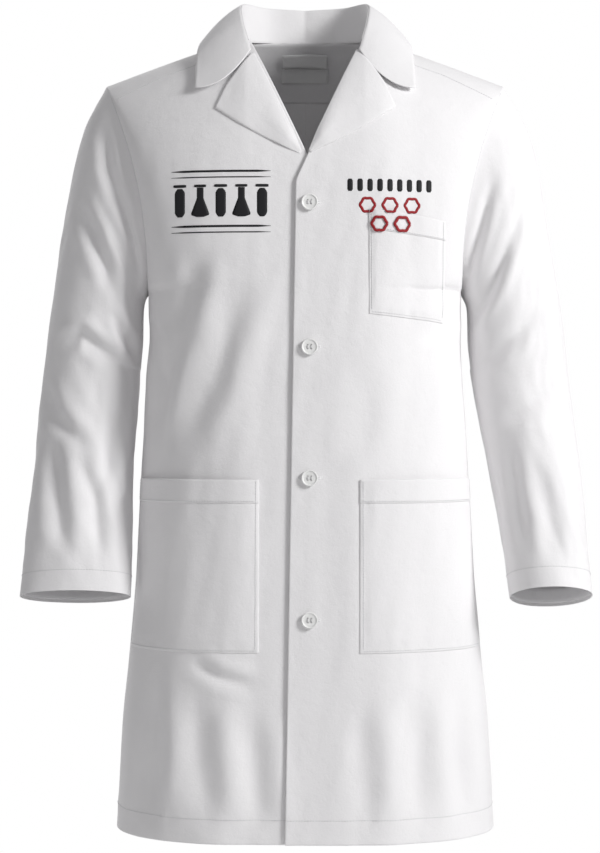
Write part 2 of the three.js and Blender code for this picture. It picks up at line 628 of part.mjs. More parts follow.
function addEmblem(name, side, place) {
  const low = CLOTH + EMBLEM_CLEAR;
  const surface = (u, v) => {
    const a = 2 * u - 1;
    const b = 2 * v - 1;
    const x = place.x + place.halfX * a * Math.sqrt(1 - b * b / 2);
    const z = place.z + place.halfZ * b * Math.sqrt(1 - a * a / 2);
    return bodyPoint(x, levelFor(x, z), true);
  };
  const layer = (u, v, p) => [liftOf(side, p) + low, liftOf(side, p) + low + TRIM];
  add(name, shell(surface, steps(0, 1, 6), steps(0, 1, 6), layer), "black");
}
addEmblem("emblem_right", -1, { x: -95, z: UNDERARM_Z + EMBLEM_RISE.right, halfX: 62, halfZ: 54 });
addEmblem("emblem_left", 1, { x: 98, z: UNDERARM_Z + EMBLEM_RISE.left, halfX: 50, halfZ: 19 });

// ---- nape: hanger loop and blank label on the neck facing ----
const facingInner = -GAP - LINING;
const labelLayer = even(facingInner - GAP - TRIM, facingInner - GAP);
add("neck_label", shell(backWhole, besideSeam(1), rowsDown(4, 5), labelLayer), "tape");
const LOOP_THICK = 1.2;
const LOOP_BOW = 7.5; // the loop stands this far off the neck facing
const loopLayer = (u) => {
  const along = (u - 0.5) * COLUMNS + 0.5;
  const bow = LOOP_BOW * Math.sin(Math.PI * clamp(along, 0, 1)) ** 0.6;
  return [facingInner - GAP - LOOP_THICK - bow, facingInner - GAP - bow];
};
const loopColumns = steps(0.5 - 0.5 / COLUMNS, 0.5 + 0.5 / COLUMNS, 8);
add("hanger_loop", shell(backWhole, loopColumns, rowsDown(2, 3), loopLayer), "tape");

export default coat;
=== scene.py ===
"""A white laboratory coat, buttoned and hanging as on a pair of shoulders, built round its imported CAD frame.

Shapes are worked out in millimetres in the frame's own axes (front towards -Y, +X the wearer's left,
+Z up) and go into the meshes in metres. Every panel is a grid on the body's surface, so pockets, seams,
stitches and embroidery are placed on the same surface and follow its folds.
"""

import json
import math

import bpy
import numpy as np
from mathutils import Matrix, Vector


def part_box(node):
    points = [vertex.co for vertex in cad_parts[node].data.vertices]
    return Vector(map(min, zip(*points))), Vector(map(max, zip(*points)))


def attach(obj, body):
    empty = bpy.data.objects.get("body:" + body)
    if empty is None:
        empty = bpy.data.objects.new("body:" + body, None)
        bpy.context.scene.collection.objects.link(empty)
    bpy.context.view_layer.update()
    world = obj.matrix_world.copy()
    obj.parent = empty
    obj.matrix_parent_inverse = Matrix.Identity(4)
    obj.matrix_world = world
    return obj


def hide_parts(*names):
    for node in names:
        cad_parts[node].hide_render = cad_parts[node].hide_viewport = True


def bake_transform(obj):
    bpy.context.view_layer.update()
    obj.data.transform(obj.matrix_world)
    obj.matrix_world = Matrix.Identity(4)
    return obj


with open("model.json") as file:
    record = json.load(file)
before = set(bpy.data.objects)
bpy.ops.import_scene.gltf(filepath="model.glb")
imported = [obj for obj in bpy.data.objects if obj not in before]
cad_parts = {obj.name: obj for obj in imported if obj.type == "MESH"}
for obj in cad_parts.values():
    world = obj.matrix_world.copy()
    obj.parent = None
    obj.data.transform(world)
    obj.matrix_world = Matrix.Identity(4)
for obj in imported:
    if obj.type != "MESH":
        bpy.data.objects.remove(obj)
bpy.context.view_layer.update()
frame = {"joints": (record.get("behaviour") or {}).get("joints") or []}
M = 0.001  # metres in a millimetre


def box_mm(node):
    """The lowest and highest corner of a CAD node, in millimetres."""
    return [np.array(corner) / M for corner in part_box(node)]


# ---- sizes read from the frame ----
HEM_Z = box_mm("back_left")[0][2]
TIP_X = box_mm("back_left")[1][0]
WORD = {1: "left", -1: "right"}
BUTTONS = [np.mean(box_mm(f"button_{i}"), axis=0) for i in range(1, 5)]
JOINT = {joint["name"]: joint for joint in frame["joints"]}

# ---- sizes of the cut, as the CAD has them ----
NECK_HALF, NAPE_RISE, NAPE_DEPTH = 78, 8, 58
TIP_Z = -60
UNDERARM_Z, UNDERARM_X, ARM_WAIST_X = -310, 189, 183
ARMHOLE = {"front": 66, "back": 74}
HALF_WIDTH = [(HEM_Z, 227), (-830, 220), (-740, 212), (-640, 203), (-540, 198), (-375, 188), (UNDERARM_Z, 189)]
DEPTH = {
    "front": [(HEM_Z, 138), (-700, 130), (-500, 125), (-300, 121), (-150, 119), (0, 118)],
    "back": [(HEM_Z, 124), (-700, 112), (-450, 102), (-250, 112), (0, 112)],
}
ROUND = {"front": (200, 1.25, 2.4, 0.2), "back": (150, 1.1, 2.2, 0.0)}
CROSS_X, CROSS_Z, ROLL_SLOPE = 3, -158, 0.46
EDGE_TOP, EDGE_HEM, UNDERLAP = -10, -23, 28
LAP = 4.0  # the left front lies this far over the right one
LAP_FULL, LAP_GONE = 85, 135
CLOTH = 0.9  # thickness of one sewn panel


# ---- the coat's surface ----
def profile(table, z):
    heights, values = zip(*sorted(table))
    knots = np.linspace(heights[0], heights[-1], 33)
    smooth = np.interp(knots, heights, values)
    smooth[1:-1] = (smooth[:-2] + 2 * smooth[1:-1] + smooth[2:]) / 4
    return np.interp(z, knots, smooth)


def smoothstep(low, high, value):
    t = np.clip((np.asarray(value, float) - low) / (high - low), 0, 1)
    return t * t * (3 - 2 * t)


def armhole_x(c):
    high = (1 + c) / 2
    return ARM_WAIST_X + (TIP_X - ARM_WAIST_X) * high**2 + (UNDERARM_X - ARM_WAIST_X) * (1 - high) ** 3


def armhole_z(c):
    return (TIP_Z + UNDERARM_Z) / 2 + (TIP_Z - UNDERARM_Z) / 2 * c


def side_edge(level, face):
    """x, depth and z of a panel's side at a level: the side seam, and the armhole above the underarm."""
    c = np.clip(1 - 2 * level / UNDERARM_Z, -1, 1)
    above = level > UNDERARM_Z
    x = np.where(above, armhole_x(c), profile(HALF_WIDTH, level))
    y = np.where(above, ARMHOLE[face] * np.sqrt(np.maximum(0, 1 - c * c)), 0)
    return x, y, np.where(above, armhole_z(c), level)


def plain_point(angle, level, face):
    """The smooth surface: angle 0 is the centre line and 90 degrees the wearer's left side seam."""
    level = np.minimum(level, 0)
    height, power, roundness, flat = ROUND[face]
    edge_x, edge_y, edge_z = side_edge(level, face)
    x = edge_x * np.sin(angle)
    share = np.minimum(1, np.abs(x) / edge_x)
    rise = np.where(level < -height, 1, np.sqrt(np.maximum(0, 1 - (1 + level / height) ** 2)))
    bend = np.maximum(0, 1 - np.maximum(0, (share - flat) / (1 - flat)) ** roundness) ** (1 / roundness)
    y = edge_y + (profile(DEPTH[face], level) * rise**power - edge_y) * bend
    ridge = np.maximum(0, (np.abs(x) - NECK_HALF + 8) / (edge_x - NECK_HALF + 8)) ** 1.1
    z = level + (edge_z - level) * ridge
    if face == "front":
        return np.stack([x, -y, z], -1)
    nape = np.sqrt(np.maximum(0, 1 - (x / NECK_HALF) ** 2))
    fade = 1 - rise**0.65
    return np.stack([x, y + NAPE_DEPTH * nape * fade, z + NAPE_RISE * nape**2 * fade], -1)


# ---- folds: millimetres along the outward normal ----
def waves(x, z, seed, length, count=5, stretch=1.0):
    """Soft irregular waves of about that length, longer along z by stretch. From about -1 to 1."""
    rng = np.random.default_rng(seed)
    total = 0
    for _ in range(count):
        turn, size, phase = rng.uniform(-0.5, 0.5), rng.uniform(0.7, 1.4), rng.uniform(0, 6.28)
        across = x * math.cos(turn) + z * math.sin(turn) / stretch
        total = total + np.sin(2 * math.pi * across / (length * size) + phase)
    return total / math.sqrt(2 * count)


def crease(x, z, line, width, depth, ends=0.35):
    """A fold along a line of (x, z) points: negative depth is a valley with a soft ridge beside it."""
    best, along, side, total = None, None, None, 0
    lengths = [math.dist(a, b) for a, b in zip(line, line[1:])]
    for (a, b), length in zip(zip(line, line[1:]), lengths):
        dx, dz = (b[0] - a[0]) / length, (b[1] - a[1]) / length
        t = np.clip((x - a[0]) * dx + (z - a[1]) * dz, 0, length)
        off_x, off_z = x - a[0] - t * dx, z - a[1] - t * dz
        d = np.hypot(off_x, off_z)
        hand = np.sign(dx * off_z - dz * off_x)
        if best is None:
            best, along, side = d, t, hand
        else:
            nearer = d < best
            best, side = np.where(nearer, d, best), np.where(nearer, hand, side)
            along = np.where(nearer, total + t, along)
        total += length
    share = along / total
    fade = smoothstep(0, ends, share) * smoothstep(0, ends, 1 - share)
    signed = best * side / width
    shape = np.exp(-(signed**2)) - 0.55 * np.exp(-((signed - 1.7) ** 2)) - 0.25 * np.exp(-((signed + 1.9) ** 2))
    return depth * shape * fade


# Valleys and ridges on the fronts: line of (x, z), width, depth.
FRONT_FOLDS = [
    ([(-118, -262), (-136, -318), (-154, -372)], 14, -4.6),
    ([(-62, -282), (-84, -342), (-108, -420), (-154, -520)], 17, -5.4),
    ([(-146, -356), (-172, -450), (-182, -500)], 10, -5.0),
    ([(-186, -336), (-176, -392), (-170, -440)], 8, -4.0),
    ([(-138, -742), (-98, -764), (-52, -774)], 8, -4.4),
    ([(-124, -772), (-120, -850), (-108, -948)], 18, -5.5),
    ([(-66, -790), (-58, -870), (-52, -952)], 15, -4.4),
    ([(-180, -752), (-178, -850), (-186, -952)], 14, -6.5),
    ([(182, -326), (158, -362), (132, -378)], 9, -2.6),
    ([(176, -350), (180, -430), (178, -500)], 11, -3.4),
    ([(72, -390), (68, -450), (62, -524)], 18, -2.0),
    ([(122, -768), (130, -850), (134, -948)], 18, -4.2),
    ([(184, -762), (180, -850), (190, -952)], 13, -5.2),
    ([(62, -780), (68, -860), (72, -952)], 15, -2.8),
]
BACK_FOLDS = [
    ([(176, -300), (120, -360), (60, -400)], 16, -4.0),
    ([(-176, -300), (-120, -360), (-60, -400)], 16, -4.0),
    ([(110, -140), (96, -260), (92, -380)], 18, -3.0),
    ([(-110, -140), (-96, -260), (-92, -380)], 18, -3.0),
    ([(60, -560), (66, -750), (74, -950)], 22, -6.0),
    ([(-60, -560), (-66, -750), (-74, -950)], 22, -6.0),
    ([(140, -480), (146, -700), (156, -950)], 22, -6.5),
    ([(-140, -480), (-146, -700), (-156, -950)], 22, -6.5),
]


def surface_folds(p, face):
    x, z = p[..., 0], p[..., 2]
    total = 0
    for line, width, depth in FRONT_FOLDS if face == "front" else BACK_FOLDS:
        total = total + crease(x, z, line, width, depth)
    skirt = smoothstep(-420, -900, z)
    body = smoothstep(-60, -260, z)
    calm = smoothstep(14, 60, np.abs(x + 6)) if face == "front" else 1
    hanging = 1.6 * skirt * waves(x, z, 3, 150, stretch=5)
    total = total + calm * (hanging + 0.9 * body * waves(x, z, 5, 90, stretch=2))
    total = total + 0.28 * body * waves(x, z, 7, 26, 7, stretch=1.3)
    hem_pucker = np.exp(-(((z - HEM_Z - 28) / 9) ** 2)) * waves(x, z, 11, 17, 6, stretch=3)
    return total + 0.55 * hem_pucker


def lap_lift(x):
    return LAP * smoothstep(LAP_GONE, LAP_FULL, x)


def cloth_point(angle, level, face, lifted=True):
    """A point of the coat's outer surface with its folds."""
    step = 0.004
    p = plain_point(angle, level, face)
    du = plain_point(angle + step, level, face) - plain_point(angle - step, level, face)
    dv = plain_point(angle, level + 1.5, face) - plain_point(angle, level - 1.5, face)
    n = unit(np.cross(du, dv)) * (1 if face == "front" else -1)
    seam = np.clip(p[..., 1] * (-1 if face == "front" else 1) / 18, 0, 1)
    height = surface_folds(p, face) * seam
    if face == "front" and lifted:
        height = height + lap_lift(p[..., 0])
    return p + n * height[..., None]


def unit(v):
    return v / np.maximum(np.linalg.norm(v, axis=-1, keepdims=True), 1e-9)


def normals_of(points, closed=False):
    """Outward normals of a grid of points: columns run to the right and rows up, seen from outside."""
    if closed:
        du = np.roll(points, -1, 1) - np.roll(points, 1, 1)
    else:
        du = np.gradient(points, axis=1)
    return unit(np.cross(du, np.gradient(points, axis=0)))


# ---- meshes ----
def link(mesh, name, material):
    piece = bpy.data.objects.new(name, mesh)
    bpy.context.scene.collection.objects.link(piece)
    if material:
        mesh.materials.append(material)
    return piece


def mesh_from(name, points, faces, material, uvs=None):
    mesh = bpy.data.meshes.new(name)
    mesh.from_pydata((np.asarray(points) * M).tolist(), [], np.asarray(faces).tolist())
    if uvs is not None:
        layer = mesh.uv_layers.new(name="UVMap")
        corner = np.zeros(len(mesh.loops), np.int32)
        mesh.loops.foreach_get("vertex_index", corner)
        layer.data.foreach_set("uv", (np.asarray(uvs)[corner] * M).astype(np.float32).ravel())
    mesh.polygons.foreach_set("use_smooth", np.ones(len(mesh.polygons), bool))
    mesh.update()
    return link(mesh, name, material)


def lengths_along(points, axis):
    step = np.linalg.norm(np.diff(points, axis=axis), axis=-1)
    shape = list(step.shape)
    shape[axis] = 1
    return np.concatenate([np.zeros(shape), np.cumsum(step, axis=axis)], axis=axis)


def sheet_mesh(name, points, material, thick=CLOTH, closed=False, base=0.0, normals=None):
    """A closed sheet of cloth: the grid is its outer face raised by base, with a rounded rim."""
    rows, cols = points.shape[:2]
    n = normals_of(points, closed) if normals is None else normals
    outer = points + n * base
    inner = outer - n * thick
    middle = (outer + inner) / 2
    uv = np.stack([lengths_along(points, 1)[rows // 2][None, :].repeat(rows, 0), lengths_along(points, 0)], -1)
    verts, uvs = [outer.reshape(-1, 3), inner.reshape(-1, 3)], [uv.reshape(-1, 2), uv.reshape(-1, 2)]
    half = rows * cols
    at = np.arange(half).reshape(rows, cols)
    wrap = np.concatenate([at, at[:, :1]], 1) if closed else at
    a, b, c, d = wrap[:-1, :-1], wrap[:-1, 1:], wrap[1:, 1:], wrap[1:, :-1]
    faces = [np.stack([a, b, c, d], -1).reshape(-1, 4), half + np.stack([a, d, c, b], -1).reshape(-1, 4)]
    # the rim: a loop of border vertices, in order round the grid
    if closed:
        loops = [(wrap[0], -1), (wrap[-1], 1)]
    else:
        ring = np.concatenate([at[0, :-1], at[:-1, -1], at[-1, :0:-1], at[:0:-1, 0], at[0, :1]])
        loops = [(ring, -1)]
    count = 2 * half
    rim_ways = []
    flat_middle, flat_outer, flat_n = middle.reshape(-1, 3), outer.reshape(-1, 3), n.reshape(-1, 3)
    for ring, hand in loops:
        core = ring[:-1]
        tangent = unit(flat_outer[np.roll(core, -1)] - flat_outer[np.roll(core, 1)])
        away = unit(np.cross(tangent, flat_n[core])) * -hand
        bulge = flat_middle[core] + away * (0 if normals is not None else thick * 0.45)
        rim_ways.append(away)
        verts.append(bulge)
        uvs.append(uv.reshape(-1, 2)[core])
        mid = count + np.arange(len(core))
        after, mid_after = np.roll(core, -1), np.roll(mid, -1)
        if hand < 0:
            faces.append(np.stack([after, core, mid, mid_after], -1))
            faces.append(np.stack([mid_after, mid, half + core, half + after], -1))
        else:
            faces.append(np.stack([core, after, mid_after, mid], -1))
            faces.append(np.stack([mid, mid_after, half + after, half + core], -1))
        count += len(core)
    piece = mesh_from(name, np.concatenate(verts), np.concatenate(faces), material, np.concatenate(uvs))
    if normals is not None:
        ways = np.concatenate([n.reshape(-1, 3), -n.reshape(-1, 3), *rim_ways])
        piece.data.normals_split_custom_set_from_vertices(ways.tolist())
    return piece


def shares(count, hem=0.0):
    """count steps from 0 to 1, with a narrow step at each end so that an edge stays crisp."""
    inner = np.linspace(0, 1, count + 1)
    if not hem:
        return inner
    return np.unique(np.concatenate([inner, [hem, 1 - hem]]))


# ---- materials ----
def group(name, inputs, outputs):
    tree = bpy.data.node_groups.new(name, "ShaderNodeTree")
    for label, kind, value in inputs:
        socket = tree.interface.new_socket(label, in_out="INPUT", socket_type=kind)
        if value is not None:
            socket.default_value = value
    for label, kind in outputs:
        tree.interface.new_socket(label, in_out="OUTPUT", socket_type=kind)
    return tree, tree.nodes.new("NodeGroupInput"), tree.nodes.new("NodeGroupOutput")


def node(tree, kind, **values):
    made = tree.nodes.new("ShaderNode" + kind)
    for key, value in values.items():
        if hasattr(made, key):
            setattr(made, key, value)
        else:
            made.inputs[key.replace("_", " ")].default_value = value
    return made


def math_node(tree, operation, first, second=None):
    made = tree.nodes.new("ShaderNodeMath")
    made.operation = operation
    for slot, value in enumerate((first, second)):
        if value is None:
            continue
        if isinstance(value, (int, float)):
            made.inputs[slot].default_value = value
        else:
            tree.links.new(value, made.inputs[slot])
    return made.outputs[0]


def twill_group():
    """Diagonal twill from two crossed sets of threads: height, and a mask that is low in the grooves between them,
    where the cloth's colour gets painted shade; on UV in metres.
    """
    tree, enter, leave = group(
        "twill_weave",
        [("UV", "NodeSocketVector", None), ("Threads per metre", "NodeSocketFloat", 2300.0)],
        [("Height", "NodeSocketFloat"), ("Mask", "NodeSocketFloat")],
    )
    scale = tree.nodes.new("ShaderNodeVectorMath")
    scale.operation = "SCALE"
    tree.links.new(enter.outputs["UV"], scale.inputs[0])
    tree.links.new(enter.outputs["Threads per metre"], scale.inputs["Scale"])
    split = tree.nodes.new("ShaderNodeSeparateXYZ")
    tree.links.new(scale.outputs[0], split.inputs[0])
    u, v = split.outputs["X"], split.outputs["Y"]
    warp = math_node(tree, "SINE", math_node(tree, "MULTIPLY", u, 6.283))
    diagonal = math_node(tree, "SINE", math_node(tree, "MULTIPLY", math_node(tree, "ADD", u, v), 2.094))
    weft = math_node(tree, "SINE", math_node(tree, "MULTIPLY", v, 6.283))
    both = math_node(tree, "ADD", math_node(tree, "MULTIPLY", warp, 0.25), math_node(tree, "MULTIPLY", weft, 0.15))
    height = math_node(tree, "ADD", both, math_node(tree, "MULTIPLY", diagonal, 0.6))
    tree.links.new(height, leave.inputs["Height"])
    # the mask is high on the diagonal ridges, so the grooves between them get painted shade in the cloth's colour
    tree.links.new(math_node(tree, "MULTIPLY_ADD", diagonal, 0.5), leave.inputs["Mask"])
    return tree


def fabric_group():
    """Uneven cloth: soft mottling for the colour and fine crumple for the height, in object space."""
    tree, enter, leave = group(
        "cloth_unevenness",
        [("Vector", "NodeSocketVector", None)],
        [("Mottle", "NodeSocketFloat"), ("Crumple", "NodeSocketFloat"), ("Lint", "NodeSocketFloat")],
    )
    for label, scale, detail in (("Mottle", 9.0, 3.0), ("Crumple", 55.0, 4.0), ("Lint", 520.0, 3.0)):
        noise = node(tree, "TexNoise", Scale=scale, Detail=detail, Roughness=0.55)
        tree.links.new(enter.outputs["Vector"], noise.inputs["Vector"])
        tree.links.new(noise.outputs["Fac"], leave.inputs[label])
    return tree


TWILL, UNEVEN = twill_group(), fabric_group()


def cloth_material(name, light, groove_shade_and_mottle_colour, crumple=0.5, weave=0.3, threads=2300.0, sheen=0.15, rough=0.86):
    """Woven cotton blend: light is the colour of its threads; the second colour is painted shade in the grooves
    between them, mixed in together with a random mottle.
    """
    material = bpy.data.materials.new(name)
    material.use_nodes = True
    tree = material.node_tree
    shader = tree.nodes["Principled BSDF"]
    shader.inputs["Sheen Weight"].default_value = sheen
    shader.inputs["Sheen Roughness"].default_value = 0.5
    shader.inputs["Specular IOR Level"].default_value = 0.25
    place = tree.nodes.new("ShaderNodeTexCoord")
    twill = node(tree, "Group", node_tree=TWILL)
    twill.inputs["Threads per metre"].default_value = threads
    tree.links.new(place.outputs["UV"], twill.inputs["UV"])
    uneven = node(tree, "Group", node_tree=UNEVEN)
    tree.links.new(place.outputs["Object"], uneven.inputs["Vector"])
    # painted shade in the twill's grooves, plus a random mottle of the cloth's own tone, picks the colour
    groove_shade_and_mottle_mix = math_node(tree, "MULTIPLY", twill.outputs["Mask"], 0.5)
    groove_shade_and_mottle_mix = math_node(tree, "ADD", groove_shade_and_mottle_mix, math_node(tree, "MULTIPLY", uneven.outputs["Mottle"], 0.7))
    colour = tree.nodes.new("ShaderNodeMix")
    colour.data_type = "RGBA"
    colour.inputs["A"].default_value = (*groove_shade_and_mottle_colour, 1)
    colour.inputs["B"].default_value = (*light, 1)
    tree.links.new(groove_shade_and_mottle_mix, colour.inputs["Factor"])
    tree.links.new(colour.outputs["Result"], shader.inputs["Base Color"])
    roughness = node(tree, "MapRange")
    roughness.inputs["To Min"].default_value = rough - 0.08
    roughness.inputs["To Max"].default_value = rough + 0.08
    tree.links.new(uneven.outputs["Lint"], roughness.inputs["Value"])
    tree.links.new(roughness.outputs["Result"], shader.inputs["Roughness"])
    fine = node(tree, "Bump", Strength=weave, Distance=0.0002)
    tree.links.new(twill.outputs["Height"], fine.inputs["Height"])
    coarse = node(tree, "Bump", Strength=crumple, Distance=0.0015)
    tree.links.new(uneven.outputs["Crumple"], coarse.inputs["Height"])
    grain = node(tree, "Bump", Strength=0.35, Distance=0.0005)
    tree.links.new(uneven.outputs["Lint"], grain.inputs["Height"])
    tree.links.new(fine.outputs["Normal"], grain.inputs["Normal"])
    tree.links.new(grain.outputs["Normal"], coarse.inputs["Normal"])
    tree.links.new(coarse.outputs["Normal"], shader.inputs["Normal"])
    return material


# each second colour is painted shade for the weave's grooves, mixed with a random mottle
WHITE = cloth_material("white_twill", (0.91, 0.90, 0.905), (0.80, 0.79, 0.80))
# the same twill with its colours painted darker, as shade, for the pieces inside and under the coat
SHADED_INSIDE_TWILL = cloth_material("twill_inside_painted_shade", (0.85, 0.842, 0.85), (0.73, 0.722, 0.735), crumple=0.45)
TAPE = cloth_material("cotton_tape", (0.88, 0.88, 0.88), (0.70, 0.70, 0.70), weave=0.6, threads=1400.0)


def stage_and_camera():
    scene = bpy.context.scene
    scene.view_settings.view_transform = "Standard"
    world = bpy.data.worlds.new("studio_white")
    scene.world = world
    world.use_nodes = True
    tree = world.node_tree
    tree.nodes["Background"].inputs["Color"].default_value = (0.99, 0.985, 1.0, 1)
    tree.nodes["Background"].inputs["Strength"].default_value = 0.30
    white = tree.nodes.new("ShaderNodeBackground")
    white.inputs["Color"].default_value = (1, 1, 1, 1)
    rays = tree.nodes.new("ShaderNodeLightPath")
    mix = tree.nodes.new("ShaderNodeMixShader")
    tree.links.new(rays.outputs["Is Camera Ray"], mix.inputs["Fac"])
    tree.links.new(tree.nodes["Background"].outputs[0], mix.inputs[1])
    tree.links.new(white.outputs[0], mix.inputs[2])
    tree.links.new(mix.outputs[0], tree.nodes["World Output"].inputs["Surface"])
    bpy.ops.mesh.primitive_plane_add(size=3.6, location=(0, 0, -1.45))
    floor = bpy.context.object
    floor.name = "studio_floor"
    paint = bpy.data.materials.new("pale_floor")
    paint.use_nodes = True
    paint.node_tree.nodes["Principled BSDF"].inputs["Base Color"].default_value = (0.9, 0.9, 0.9, 1)
    paint.node_tree.nodes["Principled BSDF"].inputs["Roughness"].default_value = 0.9
    floor.data.materials.append(paint)
    for name, place, size, power in (
        ("key_softbox", (2.2, -1.5, 0.8), 0.8, 68),
        ("fill_softbox", (-2.0, -2.2, -0.1), 2.2, 5),
        ("back_softbox", (-1.0, 2.2, 0.9), 1.6, 42),
    ):
        light = bpy.data.lights.new(name, "AREA")
        light.size, light.energy = size, power
        lamp = bpy.data.objects.new(name, light)
        lamp.location = place
        lamp.rotation_euler = (Vector((0, 0, -0.45)) - Vector(place)).to_track_quat("-Z", "Y").to_euler()
        scene.collection.objects.link(lamp)
    camera = bpy.data.cameras.new("camera")
    camera.sensor_width = 36
    camera.lens = 86.5
    eye = bpy.data.objects.new("camera", camera)
    eye.location = (-0.006, -2.5, -0.473)
    eye.rotation_euler = (math.pi / 2, 0, 0)
    scene.collection.objects.link(eye)
    scene.camera = eye


stage_and_camera()


# ---- fronts ----
def left_inner(level):
    edge = EDGE_HEM + (EDGE_TOP - EDGE_HEM) * (level - HEM_Z) / (CROSS_Z - HEM_Z)
    return np.maximum(edge, roll_x(level))


def right_inner(level):
    return np.maximum(-UNDERLAP, roll_x(level) - 2 * CROSS_X)


def roll_x(level):
    return CROSS_X + (level - CROSS_Z) * ROLL_SLOPE


INNER = {1: left_inner, -1: right_inner}


def front_grid(side, first, last, levels, columns):
    """Points of a front from a distance first to a distance last of its own edge, in shares of the whole."""
    level = levels[:, None]
    start = np.arcsin(np.clip(INNER[side](level) / side_edge(level, "front")[0], -1, 1))
    share = first + (last - first) * columns[None, :]
    angle = start + (math.pi / 2 - start) * share
    if side < 0:
        angle = -angle[:, ::-1]
    return cloth_point(angle, level + 0 * angle, "front", lifted=side > 0)


BODY_LEVELS = np.concatenate([
    np.linspace(HEM_Z, HEM_Z + 2, 2), np.linspace(HEM_Z + 5, UNDERARM_Z, 165),
    UNDERARM_Z * np.linspace(0.99, 0, 70) ** 1.4,
])
for side in (1, -1):
    joint = JOINT[f"front_corner_{WORD[side]}_fold"]
    centre, axis = Vector(joint["pos_m"]), Vector(joint["axis"])
    away = Vector((axis.z, 0, -axis.x)).normalized()
    if away.z > 0:
        away = -away


def bend_corner(piece):
    """Bakes the piece's transform into its mesh."""
    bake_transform(piece)


panels = {}
for side in (1, -1):
    grid = front_grid(side, 0, 1, BODY_LEVELS, shares(52, 0.004))
    panel = sheet_mesh(f"front_{WORD[side]}_panel", grid, WHITE, base=CLOTH)
    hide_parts(f"front_{WORD[side]}", f"front_corner_{WORD[side]}")
    bend_corner(panel)
    panels[side] = panel

# ---- back ----
def back_grid(side, columns, levels):
    level = levels[:, None]
    angle = side * columns[None, :] * math.pi / 2
    if side > 0:
        angle = angle[:, ::-1]
    return cloth_point(angle + 0 * level, level + 0 * angle, "back")


for side in (1, -1):
    grid = back_grid(side, shares(56, 0.004), BODY_LEVELS)
    panel = sheet_mesh(f"back_{WORD[side]}_panel", grid, WHITE, base=CLOTH)
    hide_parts(f"back_{WORD[side]}")
    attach(panel, "coat")

# ---- shared helpers for what lies on the surface ----
def level_for(x, z, face="front"):
    level = np.array(z, float)
    for _ in range(14):
        level += z - plain_point(angle_of(x, level, face), level, face)[..., 2]
    return np.minimum(level, -1)


def angle_of(x, level, face="front"):
    return np.arcsin(np.clip(x / side_edge(np.minimum(level, 0), face)[0], -1, 1))


def on_front(x, z, offset=0.0, lifted=None):
    """Points of the front's outer surface at those x and z, raised by offset. The left front is lifted."""
    x, z = np.broadcast_arrays(np.asarray(x, float), np.asarray(z, float))
    level = level_for(x, z)
    return raised(angle_of(x, level), level, "front", offset, lifted)


def raised(angle, level, face, offset=0.0, lifted=None):
    """The coat's outer surface with its folds, raised by offset along its own normal."""
    angle, level = np.broadcast_arrays(np.asarray(angle, float), np.asarray(level, float))
    if lifted is None:
        lifted = angle.mean() > 0
    du = cloth_point(angle + 0.01, level, face, lifted) - cloth_point(angle - 0.01, level, face, lifted)
    dv = cloth_point(angle, level + 2, face, lifted) - cloth_point(angle, level - 2, face, lifted)
    n = unit(np.cross(du, dv)) * (1 if face == "front" else -1)
    return cloth_point(angle, level, face, lifted) + n * (CLOTH + np.asarray(offset, float))[..., None]


def follow(piece, bodies):
    """A body's name to ride on, or a side, for which the piece's transform is only baked into its mesh."""
    if isinstance(bodies, str):
        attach(piece, bodies)
    else:
        bend_corner(piece)


def stitch_run(name, paths, follows, size=0.33, pitch=3.3, material=None):
    """Sewing stitches along lines of points in millimetres, each a short rounded thread sunk at its ends."""
    verts, faces = [], []
    ring = 6
    turn = np.arange(ring) * 2 * math.pi / ring
    for points, normal in paths:
        points, normal = np.asarray(points, float), np.asarray(normal, float)
        along = np.concatenate([[0], np.cumsum(np.linalg.norm(np.diff(points, axis=0), axis=1))])
        count = int(along[-1] / pitch)
        for i in range(count):
            stations = (i + np.array([0.08, 0.2, 0.5, 0.8, 0.92])) * pitch
            centre = np.stack([np.interp(stations, along, points[:, k]) for k in range(3)], -1)
            up = unit(np.stack([np.interp(stations, along, normal[:, k]) for k in range(3)], -1))
            forward = unit(centre[-1] - centre[0])[None, :]
            across = unit(np.cross(forward, up))
            height = np.array([-0.25, 0.1, 0.3, 0.1, -0.25]) * size * 1.6
            thick = np.array([0.5, 0.9, 1.0, 0.9, 0.5]) * size
            core = centre + up * height[:, None]
            rings = (core[:, None] + across[:, None] * (np.cos(turn)[None, :, None] * thick[:, None, None])
                     + up[:, None] * (np.sin(turn)[None, :, None] * thick[:, None, None]))
            base = sum(len(v) for v in verts)
            verts.append(rings.reshape(-1, 3))
            for r in range(4):
                for k in range(ring):
                    a, b = base + r * ring + k, base + r * ring + (k + 1) % ring
                    faces.append((a, a + ring, b + ring, b))
            faces.append(tuple(base + k for k in range(ring)))
            faces.append(tuple(base + 4 * ring + k for k in reversed(range(ring))))
    piece = mesh_from(name, np.concatenate(verts), [], material or THREAD)
    mesh = piece.data
    mesh.clear_geometry()
    mesh.from_pydata((np.concatenate(verts) * M).tolist(), [], faces)
    mesh.polygons.foreach_set("use_smooth", np.ones(len(mesh.polygons), bool))
    mesh.update()
    follow(piece, follows)
    return piece


